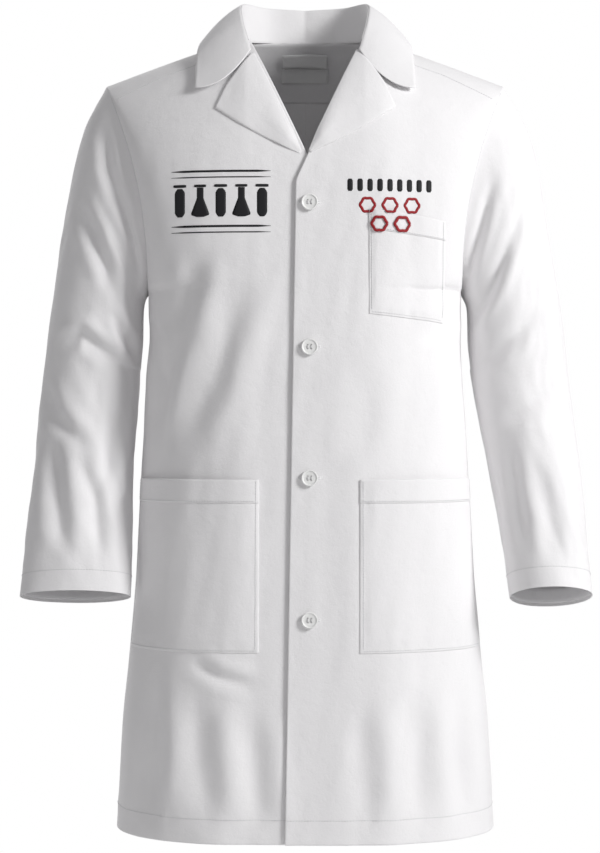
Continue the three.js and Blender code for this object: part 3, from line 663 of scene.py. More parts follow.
def thread_material(name, colour, gloss=0.45, lines=2500.0):
    """Twisted thread or satin stitching: fine lines across UV's first direction, painted shade in their grooves
    and painted highlight on their crests, with a soft gloss.
    """
    material = bpy.data.materials.new(name)
    material.use_nodes = True
    tree = material.node_tree
    shader = tree.nodes["Principled BSDF"]
    shader.inputs["Specular IOR Level"].default_value = 0.3
    place = tree.nodes.new("ShaderNodeTexCoord")
    wave = node(tree, "TexWave", Scale=lines / 6.283, Distortion=1.5, Detail=2.0)
    tree.links.new(place.outputs["UV"], wave.inputs["Vector"])
    noise = node(tree, "TexNoise", Scale=700.0, Detail=2.0)
    tree.links.new(place.outputs["Object"], noise.inputs["Vector"])
    # painted shade in the grooves between the lines and a painted highlight on their crests, following the bump
    shade = tree.nodes.new("ShaderNodeMix")
    shade.data_type = "RGBA"
    shade.inputs["A"].default_value = (*[c * 0.78 for c in colour], 1)
    shade.inputs["B"].default_value = (*[min(1, c * 1.25) for c in colour], 1)
    tree.links.new(wave.outputs["Fac"], shade.inputs["Factor"])
    tree.links.new(shade.outputs["Result"], shader.inputs["Base Color"])
    rough = node(tree, "MapRange")
    rough.inputs["To Min"].default_value = gloss
    rough.inputs["To Max"].default_value = gloss + 0.25
    tree.links.new(noise.outputs["Fac"], rough.inputs["Value"])
    tree.links.new(rough.outputs["Result"], shader.inputs["Roughness"])
    bump = node(tree, "Bump", Strength=0.5, Distance=0.0002)
    tree.links.new(wave.outputs["Fac"], bump.inputs["Height"])
    tree.links.new(bump.outputs["Normal"], shader.inputs["Normal"])
    return material


THREAD = thread_material("sewing_thread", (0.86, 0.86, 0.87), 0.6)
BLACK_THREAD = thread_material("black_embroidery", (0.012, 0.012, 0.014))
RED_THREAD = thread_material("red_embroidery", (0.32, 0.015, 0.02))


def patch(name, grid, material, follows, nodes, base=0.0, thick=CLOTH, closed=False):
    piece = sheet_mesh(name, grid, material, thick=thick, base=base, closed=closed)
    if nodes:
        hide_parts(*nodes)
    follow(piece, follows)
    return piece


def grid_normals(grid, closed=False):
    return normals_of(grid, closed)


# ---- facings and hem allowances, inside the fronts and the back ----
INSIDE = -CLOTH - 0.3
FACING_SHARE = 0.25
hem_levels = np.linspace(HEM_Z + 1, HEM_Z + 28, 8)
for side in (1, -1):
    word = WORD[side]
    levels = BODY_LEVELS[2:-26]
    facing = front_grid(side, 0.006, FACING_SHARE, levels, shares(12))
    patch(f"facing_{word}_panel", facing, SHADED_INSIDE_TWILL, side,
          [f"facing_{word}", f"facing_corner_{word}"], base=INSIDE + CLOTH)
    hem = front_grid(side, FACING_SHARE + 0.01, 0.994, hem_levels, shares(40))
    patch(f"front_hem_{word}_fold", hem, SHADED_INSIDE_TWILL, side, [f"front_hem_{word}"], base=INSIDE + CLOTH)
    hem = back_grid(side, 0.006 + 0.988 * shares(44), hem_levels)
    patch(f"back_hem_{word}_fold", hem, SHADED_INSIDE_TWILL, "coat", [f"back_hem_{word}"], base=INSIDE + CLOTH)

underlay = cloth_point(np.linspace(-0.16, 0.16, 15)[None, :] * np.ones((60, 1)) * -1,
                       np.linspace(HEM_Z + 3, -640, 60)[:, None] * np.ones((1, 15)), "back")
patch("vent_underlay_panel", underlay, WHITE, "coat", ["vent_underlay"], base=-2.4)

neck_levels = -np.linspace(64, 1.5, 26)
facing = cloth_point(np.linspace(0.42, -0.42, 40)[None, :] * np.ones((26, 1)),
                     neck_levels[:, None] * np.ones((1, 40)), "back")
patch("back_neck_facing_panel", facing, SHADED_INSIDE_TWILL, "coat", ["back_neck_facing"], base=INSIDE + CLOTH)
label = cloth_point(np.linspace(0.13, -0.13, 16)[None, :] * np.ones((12, 1)),
                    np.linspace(-41, -25, 12)[:, None] * np.ones((1, 16)), "back")
patch("neck_label_tape", label, TAPE, "coat", ["neck_label"], base=-2.5, thick=0.4)
loop_angle = np.linspace(0.13, -0.13, 40)
bow = 5.0 * np.sin(math.pi * (loop_angle / 0.26 + 0.5)) ** 0.6
loop_grid = []
loop_low, loop_high = box_mm("hanger_loop")[0][2], box_mm("hanger_loop")[1][2]
for level in np.linspace(loop_low - 2.6, loop_high - 3.6, 6):
    ring = cloth_point(loop_angle, level + 0 * loop_angle, "back")
    inward = -ring * np.array([1, 1, 0]) + np.array([0, 20, 0])
    loop_grid.append(ring + unit(inward) * (5.5 + bow)[:, None])
loop_grid = np.array(loop_grid)
patch("hanger_loop_tape", loop_grid, TAPE, "hanger_loop", ["hanger_loop"], thick=0.9)


# ---- patch pockets ----
def pocket(name, follows_side, place, height, gape, band, nodes):
    """A patch with a stitched band across its mouth, gaping a little at the top."""
    u, v = shares(44, 0.01), shares(52, 0.01)
    uu, vv = np.meshgrid(u, v)
    lean = gape * np.sin(math.pi * uu) ** 0.8 * vv**2.2
    x, level = place(uu, vv)
    angle = angle_of(x, level)
    edge = np.minimum(np.minimum(uu, 1 - uu) * 8, np.minimum(vv * 9, 1))
    pucker = 0.35 * waves(x, level, 21 + len(name), 15, 6) * np.exp(-((edge - 0.35) ** 2) * 8)
    offset = 0.9 + lean + 1.1 * smoothstep(0, 0.8, edge) + pucker
    grid = raised(angle, level, "front", offset, lifted=follows_side > 0)
    fold = 1 - band / height
    body = patch(name, grid, WHITE, "coat", nodes)
    rows = v >= fold - 1e-6
    over = grid[rows]
    cap = sheet_mesh(f"{name}_top_band", over, WHITE, base=0.75, thick=0.7)
    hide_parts(nodes[0] + "_band")
    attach(cap, "coat")
    n = grid_normals(grid)
    inset_u, inset_v = 2.6 / (x.max() - x.min()), 2.6 / height
    lines = []

    def line(us, vs, extra):
        at_u, at_v = np.interp(us, u, np.arange(len(u))), np.interp(vs, v, np.arange(len(v)))
        up = sample(n, at_u, at_v)
        lines.append((sample(grid, at_u, at_v) + up * np.reshape(extra, (-1, 1)), up))

    down = np.linspace(1 - inset_v * 0.4, inset_v, 60)
    for side_u in (inset_u, 1 - inset_u):
        line(np.full(60, side_u), down, 0.12 + 0.75 * (down > fold))
    line(np.linspace(inset_u, 1 - inset_u, 60), np.full(60, inset_v), 0.12)
    line(np.linspace(0.01, 0.99, 60), np.full(60, fold + inset_v * 0.8), 0.87)
    stitch_run(f"{name}_stitching", lines, "coat")
    return body


def sample(grid, at_u, at_v):
    """Values of a grid at fractional columns and rows."""
    c, r = np.floor(at_u).astype(int), np.floor(at_v).astype(int)
    c, r = np.clip(c, 0, grid.shape[1] - 2), np.clip(r, 0, grid.shape[0] - 2)
    fu, fv = (at_u - c)[:, None], (at_v - r)[:, None]
    low = grid[r, c] * (1 - fu) + grid[r, c + 1] * fu
    high = grid[r + 1, c] * (1 - fu) + grid[r + 1, c + 1] * fu
    return low * (1 - fv) + high * fv


def chest_place(u, v):
    bottom = -342 - 9 * u
    return 74 + (163 - 74) * u, bottom + (-220 - bottom) * v


def side_place(side, inner):
    def place(u, v):
        level = -735 + 200 * v
        edge = profile(HALF_WIDTH, level)
        share = u if side > 0 else 1 - u
        angle = np.arcsin(inner / edge) * (1 - share) + math.radians(80) * share
        return side * edge * np.sin(angle), level
    return place


pocket("chest_pocket_patch", 1, chest_place, 122, 1.5, 24, ["chest_pocket"])
pocket("pocket_left_patch", 1, side_place(1, 63), 200, 4.0, 27, ["pocket_left"])
pocket("pocket_right_patch", -1, side_place(-1, 54), 200, 4.0, 27, ["pocket_right"])

# ---- lapels ----
GORGE_LEVEL = -28
NOTCH, LAPEL_TIP, COLLAR_TIP = (92, -72), (105, -100), (130, -78)
for side in (1, -1):
    across = np.concatenate([np.linspace(0, 0.72, 26), np.linspace(0.75, 1, 12)])
    up = np.linspace(0.02, 1, 60) ** 0.9
    top = (roll_x(GORGE_LEVEL), GORGE_LEVEL)
    knee = 0.75
    t = np.where(across < knee, across / knee, (across - knee) / (1 - knee))
    head_x = np.where(across < knee, top[0] + (NOTCH[0] - top[0]) * t, NOTCH[0] + (LAPEL_TIP[0] - NOTCH[0]) * t)
    head_z = np.where(across < knee, top[1] + (NOTCH[1] - top[1]) * t, NOTCH[1] + (LAPEL_TIP[1] - NOTCH[1]) * t)
    x = CROSS_X * side + (side * head_x[None, :] - CROSS_X * side) * up[:, None]
    z = (CROSS_Z + 1) + (head_z[None, :] - CROSS_Z - 1) * up[:, None]
    belly = 5 * np.sin(math.pi * up)[:, None] * across[None, :] ** 2
    x = x + side * belly * 0.6
    z = z - belly * 0.4
    bowed = 1.4 + 2.2 * np.sin(math.pi * np.clip(across, 0, 1)) ** 0.7 - 0.2 * across
    offset = bowed[None, :] * smoothstep(0, 0.25, up)[:, None] + 0.5
    offset = offset + 0.5 * waves(x, z, 31 + side, 60) * smoothstep(0.1, 0.5, across)[None, :]
    leaf = on_front(x, z, offset, lifted=side > 0)
    # the roll: a soft half turn from the front's edge up to the leaf
    root = on_front(x[:, 0], z[:, 0], -CLOTH, lifted=side > 0)
    rise = leaf[:, 0] - root
    inward = np.cross(unit(rise), unit(np.gradient(root, axis=0))) * (1 if side > 0 else -1)
    inward = inward * np.sign((inward * np.array([-side, 0, 0])).sum(-1, keepdims=True))
    turn = np.linspace(0, math.pi, 9)[:-1]
    half = np.linalg.norm(rise, axis=-1, keepdims=True) / 2
    roll = [root + rise * (1 - math.cos(a)) / 2 + inward * half * 1.5 * math.sin(a) for a in turn]
    grid = np.concatenate([np.stack(roll, 1), leaf], 1)
    if side < 0:
        grid = grid[:, ::-1]
    patch(f"lapel_{WORD[side]}_leaf", grid, WHITE, "coat", [f"lapel_{WORD[side]}"], thick=1.2)


# ---- collar ----
def curve_point(points, t, centripetal=True):
    """Points at shares t along a smooth curve through the given points."""
    points = np.asarray(points, float)
    last = len(points) - 1
    at = np.clip(np.asarray(t, float), 0, 1) * last
    i = np.minimum(np.floor(at).astype(int), last - 1)
    w = (at - i)[..., None]
    padded = np.concatenate([[2 * points[0] - points[1]], points, [2 * points[-1] - points[-2]]])
    x0, x1, x2, x3 = (padded[i + k] for k in range(4))
    if centripetal:
        gaps = ((x0, x1), (x1, x2), (x2, x3))
        d0, d1, d2 = (np.sqrt(np.linalg.norm(b - a, axis=-1, keepdims=True)) for a, b in gaps)
    else:
        d0 = d1 = d2 = np.ones_like(w)
    t1 = ((x1 - x0) / d0 - (x2 - x0) / (d0 + d1) + (x2 - x1) / d1) * d1
    t2 = ((x2 - x1) / d1 - (x3 - x1) / (d1 + d2) + (x3 - x2) / d2) * d1
    return (x1 * (2 * w**3 - 3 * w**2 + 1) + t1 * (w**3 - 2 * w**2 + w)
            + x2 * (3 * w**2 - 2 * w**3) + t2 * (w**3 - w**2))


def over_shoulder(x, level, face, clear):
    p = plain_point(angle_of(x, level, face), level, face)
    return p + np.array([0, -clear if face == "front" else clear, clear * 0.6])


NECK_SEAM = [(0, 58, 8.5), (46, 47, 7), (74, 16, 3), (75, -14, 2),
             plain_point(angle_of(roll_x(-16), -16), -16, "front") + np.array([0, 0, 3])]
ROLL_LINE = [(0, 63, 46), (48, 52, 47), (76, 18, 45), (76, -26, 18),
             plain_point(angle_of(top[0], GORGE_LEVEL), GORGE_LEVEL, "front") + np.array([2, -9, 4])]
FALL_EDGE = [over_shoulder(0, -34, "back", 6), over_shoulder(66, -26, "back", 6), (118, 24, -1), (128, -26, -15),
             over_shoulder(COLLAR_TIP[0], level_for(COLLAR_TIP[0], COLLAR_TIP[1]), "front", 7.5)]
NOTCH_POINT = over_shoulder(NOTCH[0] + 4, level_for(NOTCH[0], NOTCH[1] + 6), "front", 7.5)


def collar_grid(columns, rows):
    u = np.linspace(0, 1, columns)
    share = np.abs(2 * u - 1)
    side = np.where(u < 0.5, 1.0, -1.0)[:, None] * [1, 0, 0] + [0, 1, 1]
    roll, edge = curve_point(ROLL_LINE, share), curve_point(FALL_EDGE, share)
    bow = roll * 0.55 + edge * 0.45
    outward = unit(bow * [1, 1, 0])
    swell = (1 - share**3)[:, None]
    bow = bow + outward * 9 * swell + np.array([0, 0, 8]) * swell
    pull = smoothstep(0.8, 1, share)[:, None]
    bow = bow * (1 - pull) + (2 * NOTCH_POINT - (roll + edge) / 2) * pull
    v = np.linspace(0, 1, rows)[:, None, None]
    return ((1 - v) ** 2 * edge + 2 * v * (1 - v) * bow + v**2 * roll) * side


leaf = collar_grid(161, 26)
patch("collar_leaf_panel", leaf, WHITE, "coat", ["collar_leaf"], base=CLOTH, thick=1.3)
under = collar_grid(161, 26)[1:-1, 2:-2]
patch("undercollar_panel", under, SHADED_INSIDE_TWILL, "coat", ["undercollar"], base=-0.6, thick=0.6)
share = 0.92 * np.abs(np.linspace(-1, 1, 121))
side_of = np.where(np.linspace(-1, 1, 121) < 0, 1.0, -1.0)[:, None] * [1, 0, 0] + [0, 1, 1]
foot = curve_point(NECK_SEAM, share) - np.array([0, 0, 4])
head = curve_point(ROLL_LINE, share) - np.array([0, 0, 0.4])
stand = np.stack([(foot * (1 - v) + head * v) * side_of for v in np.linspace(0, 1, 14)])
patch("collar_stand_panel", stand, WHITE, "coat", ["collar_stand"], base=-0.6, thick=1.2)

# ---- sleeves ----
RINGS = {
    1: [(236, 38, -226, 103, 3, 68, 0), (247, 47, -298, 72, 3, 65, 0), (257, 54, -362, 38, 3, 61, 0),
        (263, 58, -420, 0, 2, 57, 0), (280, 53, -545, 0, -28, 53, 10), (292, 48, -675, 0, -66, 50, 16)],
    -1: [(234, 37, -226, 103, 3, 68, 0), (246, 47, -298, 72, 3, 65, 0), (255, 53, -362, 38, 3, 60, 0),
         (261, 57, -420, 0, 2, 54, 0), (268, 60, -545, 0, -28, 42, 10), (273, 65, -675, 0, -66, 31, 10)],
}
SLEEVE_FOLDS = {
    -1: [([(-209, -118), (-200, -169), (-194, -227), (-186, -292)], 6, -5.0),
         ([(-242, -100), (-233, -166), (-222, -200), (-190, -262)], 8, -7.0),
         ([(-274, -196), (-252, -247), (-236, -285), (-224, -328)], 9, -6.5),
         ([(-222, -206), (-206, -246), (-196, -300)], 5, -4.0),
         ([(-304, -384), (-267, -364), (-243, -382), (-206, -410)], 9, -5.0),
         ([(-232, -330), (-214, -368), (-198, -402)], 6, -5.0),
         ([(-304, -470), (-294, -560), (-282, -640)], 11, -6.0),
         ([(-268, -500), (-248, -560), (-240, -636)], 9, -6.0),
         ([(-318, -408), (-300, -462), (-256, -506)], 10, -4.5),
         ([(-222, -440), (-230, -500), (-244, -560)], 8, -4.5)],
    1: [([(226, -165), (208, -236), (186, -318)], 7, -5.5),
        ([(244, -252), (218, -316), (192, -362)], 8, -5.5),
        ([(262, -200), (240, -262), (222, -300)], 8, -3.6),
        ([(284, -330), (244, -372), (204, -400)], 10, -4.2),
        ([(302, -420), (262, -450), (222, -470)], 12, -3.0),
        ([(270, -500), (286, -570), (296, -640)], 12, -3.4),
        ([(240, -470), (252, -560), (262, -640)], 9, -3.6)],
}


def sleeve_grid(side, columns):
    turn = np.arange(columns) * 2 * math.pi / columns
    angle = turn[::-1] if side > 0 else turn
    c, s = np.cos(angle), np.sin(angle)
    depth = np.where(s > 0, ARMHOLE["front"], ARMHOLE["back"])
    clear = 0.3 + 1.2 * ((1 - c) / 2) ** 3
    points = [np.stack([armhole_x(c) + clear, -depth * s, armhole_z(c)], -1)]
    for x, half_x, z, lean, y, half_y, tilt in RINGS[side]:
        points.append(np.stack([x + half_x * c, y - half_y * s, z + lean * c + tilt * s], -1))
    points = np.array(points) * [side, 1, 1]
    shares_down = np.concatenate([np.linspace(1, 2 / 3, 66), np.linspace(2 / 3, 0, 120)[1:]])
    grid = np.array([curve_column(points, t) for t in shares_down])
    n = normals_of(grid, closed=True)
    x, z = grid[..., 0], grid[..., 2]
    front = smoothstep(0.1, 0.5, -n[..., 1])
    back = smoothstep(0.1, 0.5, n[..., 1])
    height = 0
    for line, width, size in SLEEVE_FOLDS[side]:
        height = height + front * crease(x, z, line, width, size)
        behind = [(a + 6 * side, b - 16) for a, b in line]
        height = height + back * crease(x, z, behind, width * 1.2, size * 0.9)
    height = height + 1.5 * waves(x + grid[..., 1], z, 41 + side, 85, 6, stretch=1.6)
    height = height + 0.4 * waves(x + grid[..., 1], z, 51 + side, 24, 7, stretch=1.2)
    seam = smoothstep(0, 0.10, shares_down)[:, None] * (0.25 + 0.75 * smoothstep(1.0, 0.95, shares_down)[:, None])
    return grid + n * (height * seam)[..., None], shares_down


def curve_column(points, share):
    """One ring of the sleeve: every line's point at a share of the way down its evenly spaced rings."""
    last = len(points) - 1
    at = min(max(share, 0), 1) * last
    i = min(int(at), last - 1)
    w = at - i
    before = points[i - 1] if i else 2 * points[0] - points[1]
    after = points[i + 2] if i + 2 <= last else 2 * points[-1] - points[-2]
    t1, t2 = (points[i + 1] - before) / 2, (after - points[i]) / 2
    return (points[i] * (2 * w**3 - 3 * w**2 + 1) + t1 * (w**3 - 2 * w**2 + w)
            + points[i + 1] * (3 * w**2 - 2 * w**3) + t2 * (w**3 - w**2))


for side in (1, -1):
    word = WORD[side]
    grid, down = sleeve_grid(side, 132)
    n = normals_of(grid, closed=True)
    elbow = int(np.argmin(np.abs(down - 2 / 3)))
    for name, rows, nodes, bodies in (
        (f"sleeve_{word}_upper", slice(elbow, None), [f"sleeve_{word}"], ("coat", f"sleeve_{word}")),
        (f"sleeve_{word}_lower", slice(0, elbow + 1), [f"forearm_{word}"], (f"sleeve_{word}", f"forearm_{word}")),
    ):
        piece = sheet_mesh(name, grid[rows], WHITE, base=CLOTH, closed=True, normals=n[rows])
        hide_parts(*nodes)
        if "upper" in name:
            start = (0.215 * side, 0, -0.185)
            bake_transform(piece)
        else:
            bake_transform(piece)
    cuff_rows = int(np.argmin(np.abs(down - (1 - 26 / 135 / 6))))
    hem = sheet_mesh(f"cuff_hem_{word}_fold", grid[1:cuff_rows], SHADED_INSIDE_TWILL, base=INSIDE + CLOTH, closed=True)
    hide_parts(f"cuff_hem_{word}")
    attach(hem, f"forearm_{word}")
    ring = np.concatenate([grid[cuff_rows], grid[cuff_rows][:1]])
    up = np.concatenate([n[cuff_rows], n[cuff_rows][:1]])
    stitch_run(f"cuff_{word}_stitching", [(ring + up * (CLOTH + 0.1), up)], f"forearm_{word}")

# ---- seams and topstitching on the body ----
def panel_path(side, share, levels, offset, face="front"):
    if face == "front":
        level = levels[:, None]
        start = np.arcsin(np.clip(INNER[side](level) / side_edge(level, "front")[0], -1, 1))
        angle = side * (start + (math.pi / 2 - start) * share)
    else:
        level = levels[:, None]
        angle = side * share * math.pi / 2 + 0 * level
    p = raised(angle, level, face, offset, lifted=side > 0 and face == "front")[:, 0]
    q = raised(angle, level, face, offset + 1, lifted=side > 0 and face == "front")[:, 0]
    return p, unit(q - p)


hem_row = HEM_Z + 28
for side in (1, -1):
    share_row = np.linspace(0.004, 0.996, 160)
    level = np.full((1, 160), float(hem_row))
    start = np.arcsin(INNER[side](level) / side_edge(level, "front")[0])
    angle = side * (start + (math.pi / 2 - start) * share_row[None, :])
    p = raised(angle, level, "front", 0.1, lifted=side > 0)[0]
    q = raised(angle, level, "front", 1.1, lifted=side > 0)[0]
    paths = [(p, unit(q - p))]
    stitch_run(f"front_hem_{WORD[side]}_stitching", paths, side)
    angle = side * share_row[None, :] * math.pi / 2
    p = raised(angle, level, "back", 0.1)[0]
    q = raised(angle, level, "back", 1.1)[0]
    stitch_run(f"back_hem_{WORD[side]}_stitching", [(p, unit(q - p))], "coat")

for side in (1, -1):
    for face in ("front", "back"):
        rows = np.linspace(-292, -14, 90)
        path = panel_path(side, 0.965, rows, 0.1, face)
        stitch_run(f"armhole_{face}_{WORD[side]}_stitching", [path], "coat")
    x, z = np.linspace(106, 226, 60) * side, np.interp(np.linspace(0, 1, 60), [0, 0.5, 1], [-32, -53, -82])
    p, q = on_front(x, z, 0.1, side > 0), on_front(x, z, 1.1, side > 0)
    stitch_run(f"shoulder_{WORD[side]}_stitching", [(p, unit(q - p))], "coat")

# ---- buttons ----
def button_material():
    material = bpy.data.materials.new("white_button")
    material.use_nodes = True
    tree = material.node_tree
    shader = tree.nodes["Principled BSDF"]
    shader.inputs["Roughness"].default_value = 0.38
    shader.inputs["Subsurface Weight"].default_value = 0.15
    shader.inputs["Subsurface Radius"].default_value = (0.003, 0.003, 0.003)
    place = tree.nodes.new("ShaderNodeTexCoord")
    noise = node(tree, "TexNoise", Scale=160.0, Detail=3.0)
    tree.links.new(place.outputs["Object"], noise.inputs["Vector"])
    shade = tree.nodes.new("ShaderNodeMix")
    shade.data_type = "RGBA"
    shade.inputs["A"].default_value = (0.80, 0.80, 0.79, 1)
    shade.inputs["B"].default_value = (0.90, 0.90, 0.89, 1)
    tree.links.new(noise.outputs["Fac"], shade.inputs["Factor"])
    tree.links.new(shade.outputs["Result"], shader.inputs["Base Color"])
    return material


BUTTON = button_material()


def make_button(index):
    """A dished round button with four holes, cut from a turned blank."""
    bpy.ops.object.select_all(action="DESELECT")
    bpy.ops.mesh.primitive_cylinder_add(vertices=64, radius=9.5 * M, depth=3.0 * M)
    piece = bpy.context.object
    piece.name = piece.data.name = f"button_{index}_face"
    bpy.ops.object.mode_set(mode="EDIT")
    bpy.ops.mesh.select_all(action="DESELECT")
    bpy.ops.object.mode_set(mode="OBJECT")
    for face in piece.data.polygons:
        face.select = face.normal.z > 0.9
    bpy.ops.object.mode_set(mode="EDIT")
    bpy.ops.mesh.inset(thickness=1.3 * M)
    bpy.ops.mesh.inset(thickness=0.9 * M)
    bpy.ops.transform.translate(value=(0, 0, -0.9 * M))
    bpy.ops.mesh.inset(thickness=0.5 * M)
    bpy.ops.object.mode_set(mode="OBJECT")
    bevel = piece.modifiers.new("soft_rim", "BEVEL")
    bevel.width, bevel.segments, bevel.limit_method, bevel.angle_limit = 0.55 * M, 3, "ANGLE", math.radians(40)
    bpy.ops.object.modifier_apply(modifier=bevel.name)
    cutters = []
    for sx in (-1, 1):
        for sy in (-1, 1):
            bpy.ops.mesh.primitive_cylinder_add(vertices=20, radius=1.0 * M, depth=9 * M,
                                                location=(sx * 2.1 * M, sy * 2.1 * M, 0))
            cutters.append(bpy.context.object)
    for cutter in cutters:
        cut = piece.modifiers.new("hole", "BOOLEAN")
        cut.object, cut.operation, cut.solver = cutter, "DIFFERENCE", "EXACT"
    bpy.ops.object.select_all(action="DESELECT")
    bpy.context.view_layer.objects.active = piece
    piece.select_set(True)
    for cut in list(piece.modifiers):
        bpy.ops.object.modifier_apply(modifier=cut.name)
    for cutter in cutters:
        bpy.data.objects.remove(cutter)
    bpy.ops.object.shade_smooth_by_angle(angle=math.radians(35))
    piece.data.materials.append(BUTTON)
    return piece


for index, centre in enumerate(BUTTONS, 1):
    axis = Vector(JOINT[f"button_{index}_swivel"]["axis"])
    if axis.y > 0:
        axis = -axis
    turn = axis.to_track_quat("Z", "Y")
    seat = on_front(centre[0], centre[2], 0.0, lifted=True)
    middle = Vector((seat * M).tolist()) + axis * 0.0028
    piece = make_button(index)
    turned = turn.to_matrix().to_4x4()
    piece.data.transform(Matrix.Translation(middle) @ turned)
    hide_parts(f"button_{index}")
    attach(piece, f"button_{index}")
    spin = np.array(turned.to_3x3())
    lines = []
    for x in (-2.1, 2.1):
        bridge = np.array([(x, y, 0.75 + 0.35 * math.cos(y * 0.55)) for y in np.linspace(-2.9, 2.9, 9)])
        for shift in (-0.35, 0.35):
            lines.append(((bridge + [shift, 0, 0]) @ spin.T + np.array(middle) / M, np.tile(spin[:, 2], (9, 1))))
    tie = stitch_run(f"button_{index}_thread", lines, f"button_{index}", size=0.34, pitch=5.7)
    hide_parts(f"button_thread_{index}")

# ---- satin stitching: the embroidered emblems and the worked buttonholes ----
def satin(path, half_widths, offset=0.1, dome=0.5, lifted=None):
    """A raised band of satin stitching along points (x, z) of the front: vertices, faces and UVs."""
    path, half = np.asarray(path, float), np.asarray(half_widths, float)
    tangent = unit(np.gradient(path, axis=0))
    across = np.stack([-tangent[:, 1], tangent[:, 0]], -1)
    spread = np.linspace(-1, 1, 7)
    flat = path[:, None] + across[:, None] * half[:, None, None] * spread[None, :, None]
    height = offset + dome * np.sqrt(np.maximum(0, 1 - spread**2))[None, :] * np.minimum(1, half / 0.8)[:, None]
    ground = over_pocket(flat[..., 0], flat[..., 1]) if lifted else 0.0
    top = on_front(flat[..., 0], flat[..., 1], height + ground, lifted)
    low = on_front(flat[..., 0], flat[..., 1], ground - 0.3, lifted)
    loop = np.concatenate([top, low[:, ::-1][:, 1:-1]], 1)
    rows, cols = loop.shape[:2]
    at = np.arange(rows * cols).reshape(rows, cols)
    wrap = np.concatenate([at, at[:, :1]], 1)
    faces = np.stack([wrap[:-1, :-1], wrap[1:, :-1], wrap[1:, 1:], wrap[:-1, 1:]], -1).reshape(-1, 4).tolist()
    faces += [tuple(at[0]), tuple(at[-1][::-1])]
    along = np.concatenate([[0], np.cumsum(np.linalg.norm(np.diff(path, axis=0), axis=1))])
    uv = np.zeros((rows, cols, 2))
    uv[..., 0] = along[:, None]
    uv[:, :7, 1] = half[:, None] * spread
    return loop.reshape(-1, 3), faces, uv.reshape(-1, 2)


def over_pocket(x, z):
    """How far the chest pocket stands over the front at (x, z): nothing beside it."""
    level = level_for(x, z)
    u = (x - 74) / 89
    v = (level + 342 + 9 * u) / (122 + 9 * u)
    inside = smoothstep(-0.004, 0.01, u) * smoothstep(1.004, 0.99, u) * smoothstep(1.02, 0.995, v)
    lean = 1.5 * np.sin(math.pi * np.clip(u, 0, 1)) ** 0.8 * np.clip(v, 0, 1) ** 2.2
    edge = np.clip(np.minimum(u, 1 - u) * 8, 0, 1)
    return inside * (2.0 + lean + 1.1 * smoothstep(0, 0.8, edge) + 0.75)


def embroider(name, bands, material, nodes, lifted):
    """One piece of stitching made of satin bands."""
    verts, faces, uvs, base = [], [], [], 0
    for path, half in bands:
        v, f, uv = satin(path, half, lifted=lifted)
        verts.append(v)
        uvs.append(uv)
        faces += [tuple(base + k for k in face) for face in f]
        base += len(v)
    verts, uvs = np.concatenate(verts), np.concatenate(uvs)
    mesh = bpy.data.meshes.new(name)
    mesh.from_pydata((verts * M).tolist(), [], faces)
    layer = mesh.uv_layers.new(name="UVMap")
    corner = np.zeros(len(mesh.loops), np.int32)
    mesh.loops.foreach_get("vertex_index", corner)
    layer.data.foreach_set("uv", (uvs[corner] * M).astype(np.float32).ravel())
    mesh.polygons.foreach_set("use_smooth", np.ones(len(mesh.polygons), bool))
    mesh.update()
    piece = link(mesh, name, material)
    if nodes:
        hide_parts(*nodes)
    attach(piece, "coat")
    return piece


def stroke(points, width, taper=0.0, count=24):
    """A band through the given (x, z) points, with its ends narrowed by taper."""
    flat = [(x, 0, z) for x, z in points]
    t = np.linspace(0, 1, count)
    path = curve_point(flat, t)[:, [0, 2]]
    ends = np.minimum(1, np.minimum(t, 1 - t) * count / 3 + (1 - taper))
    return path, np.maximum(0.25, width / 2 * ends)


def tube_shape(x, z, height, width):
    """A test tube with its lip."""
    glass = stroke([(x, z + height / 2 - 3), (x, z - height / 2)], width, 0.55, 14)
    lip = stroke([(x - width * 0.62, z + height / 2), (x + width * 0.62, z + height / 2)], 3.4, 0.2, 8)
    return [glass, lip]


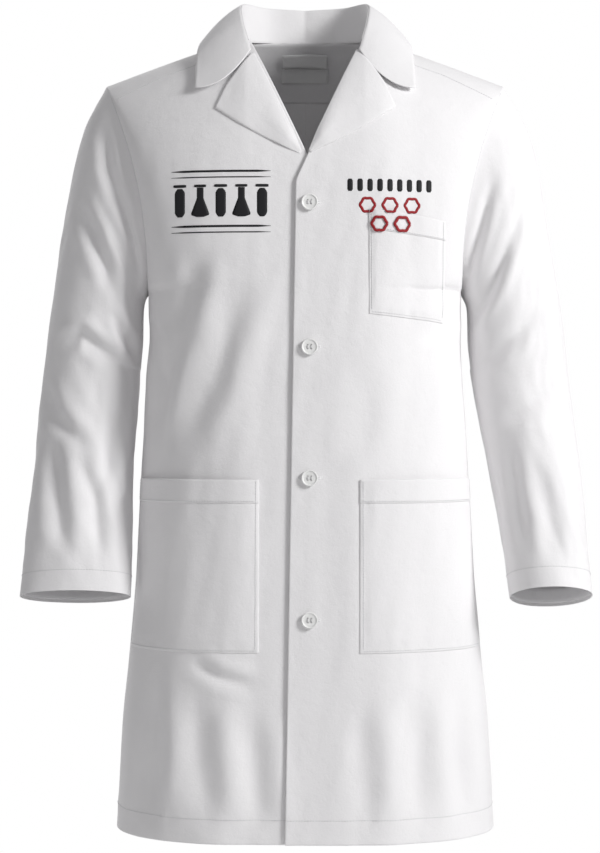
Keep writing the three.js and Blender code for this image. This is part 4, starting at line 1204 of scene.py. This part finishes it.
def flask_shape(x, z, height, width):
    """A conical flask with its lip."""
    t = np.linspace(0, 1, 18)
    path = np.stack([np.full(18, float(x)), z + height / 2 - 2 - (height - 2) * t], -1)
    half = np.where(t < 0.36, width * 0.17, width * (0.17 + 0.36 * (t - 0.36) / 0.64))
    half = half * np.minimum(1, (1.04 - t) * 9)
    lip = stroke([(x - width * 0.3, z + height / 2), (x + width * 0.3, z + height / 2)], 3.2, 0.2, 8)
    return [(path, half), lip]


def hexagon(x, z, radius, width):
    """One closed ring of satin with softened corners."""
    turns = np.linspace(0, 2 * math.pi, 61)
    reach = radius / (1 + 0.07 * (1 - np.cos(6 * turns)))
    path = np.stack([x + reach * np.cos(turns), z + reach * np.sin(turns)], -1)
    return [(path, np.full(61, width / 2))]


# right: a row of flasks and tubes on a shelf, between plain rules
RULES = ((-176, 2.6), (-183, 1.4), (-240, 2.6), (-247, 1.4))  # height and width of each rule
bands = [stroke([(-156, z), (-98, z), (-40, z)], width, 0.9) for z, width in RULES]
for k, x in enumerate(np.linspace(-146, -50, 5)):
    bands += flask_shape(x, -211, 36, 23) if k % 2 else tube_shape(x, -211, 36, 12)
embroider("emblem_right_stitching", bands, BLACK_THREAD, ["emblem_right"], False)
# left: a row of bars over a cluster of cells
bands = [stroke([(x, -186), (x, -200)], 6.4, 0.4, 8) for x in np.linspace(52, 144, 9)]
embroider("emblem_left_stitching", bands, BLACK_THREAD, ["emblem_left"], True)
bands = []
for x, z in [(x, -216) for x in (72, 98, 124)] + [(x, -238) for x in (85, 111)]:
    bands += hexagon(x, z, 8.6, 3.2)
embroider("emblem_left_cells", bands, RED_THREAD, [], True)
for index, centre in enumerate(BUTTONS, 1):
    z = centre[2]
    hole = [stroke([(-7, z + 0.9), (18, z + 0.9)], 1.1, 0.2), stroke([(-7, z - 0.9), (18, z - 0.9)], 1.1, 0.2),
            stroke([(-7.4, z + 1.5), (-7.4, z - 1.5)], 1.0, 0.2, 8)]
    ring = embroider(f"buttonhole_{index}_stitching", hole, THREAD, [f"buttonhole_{index}"], True)
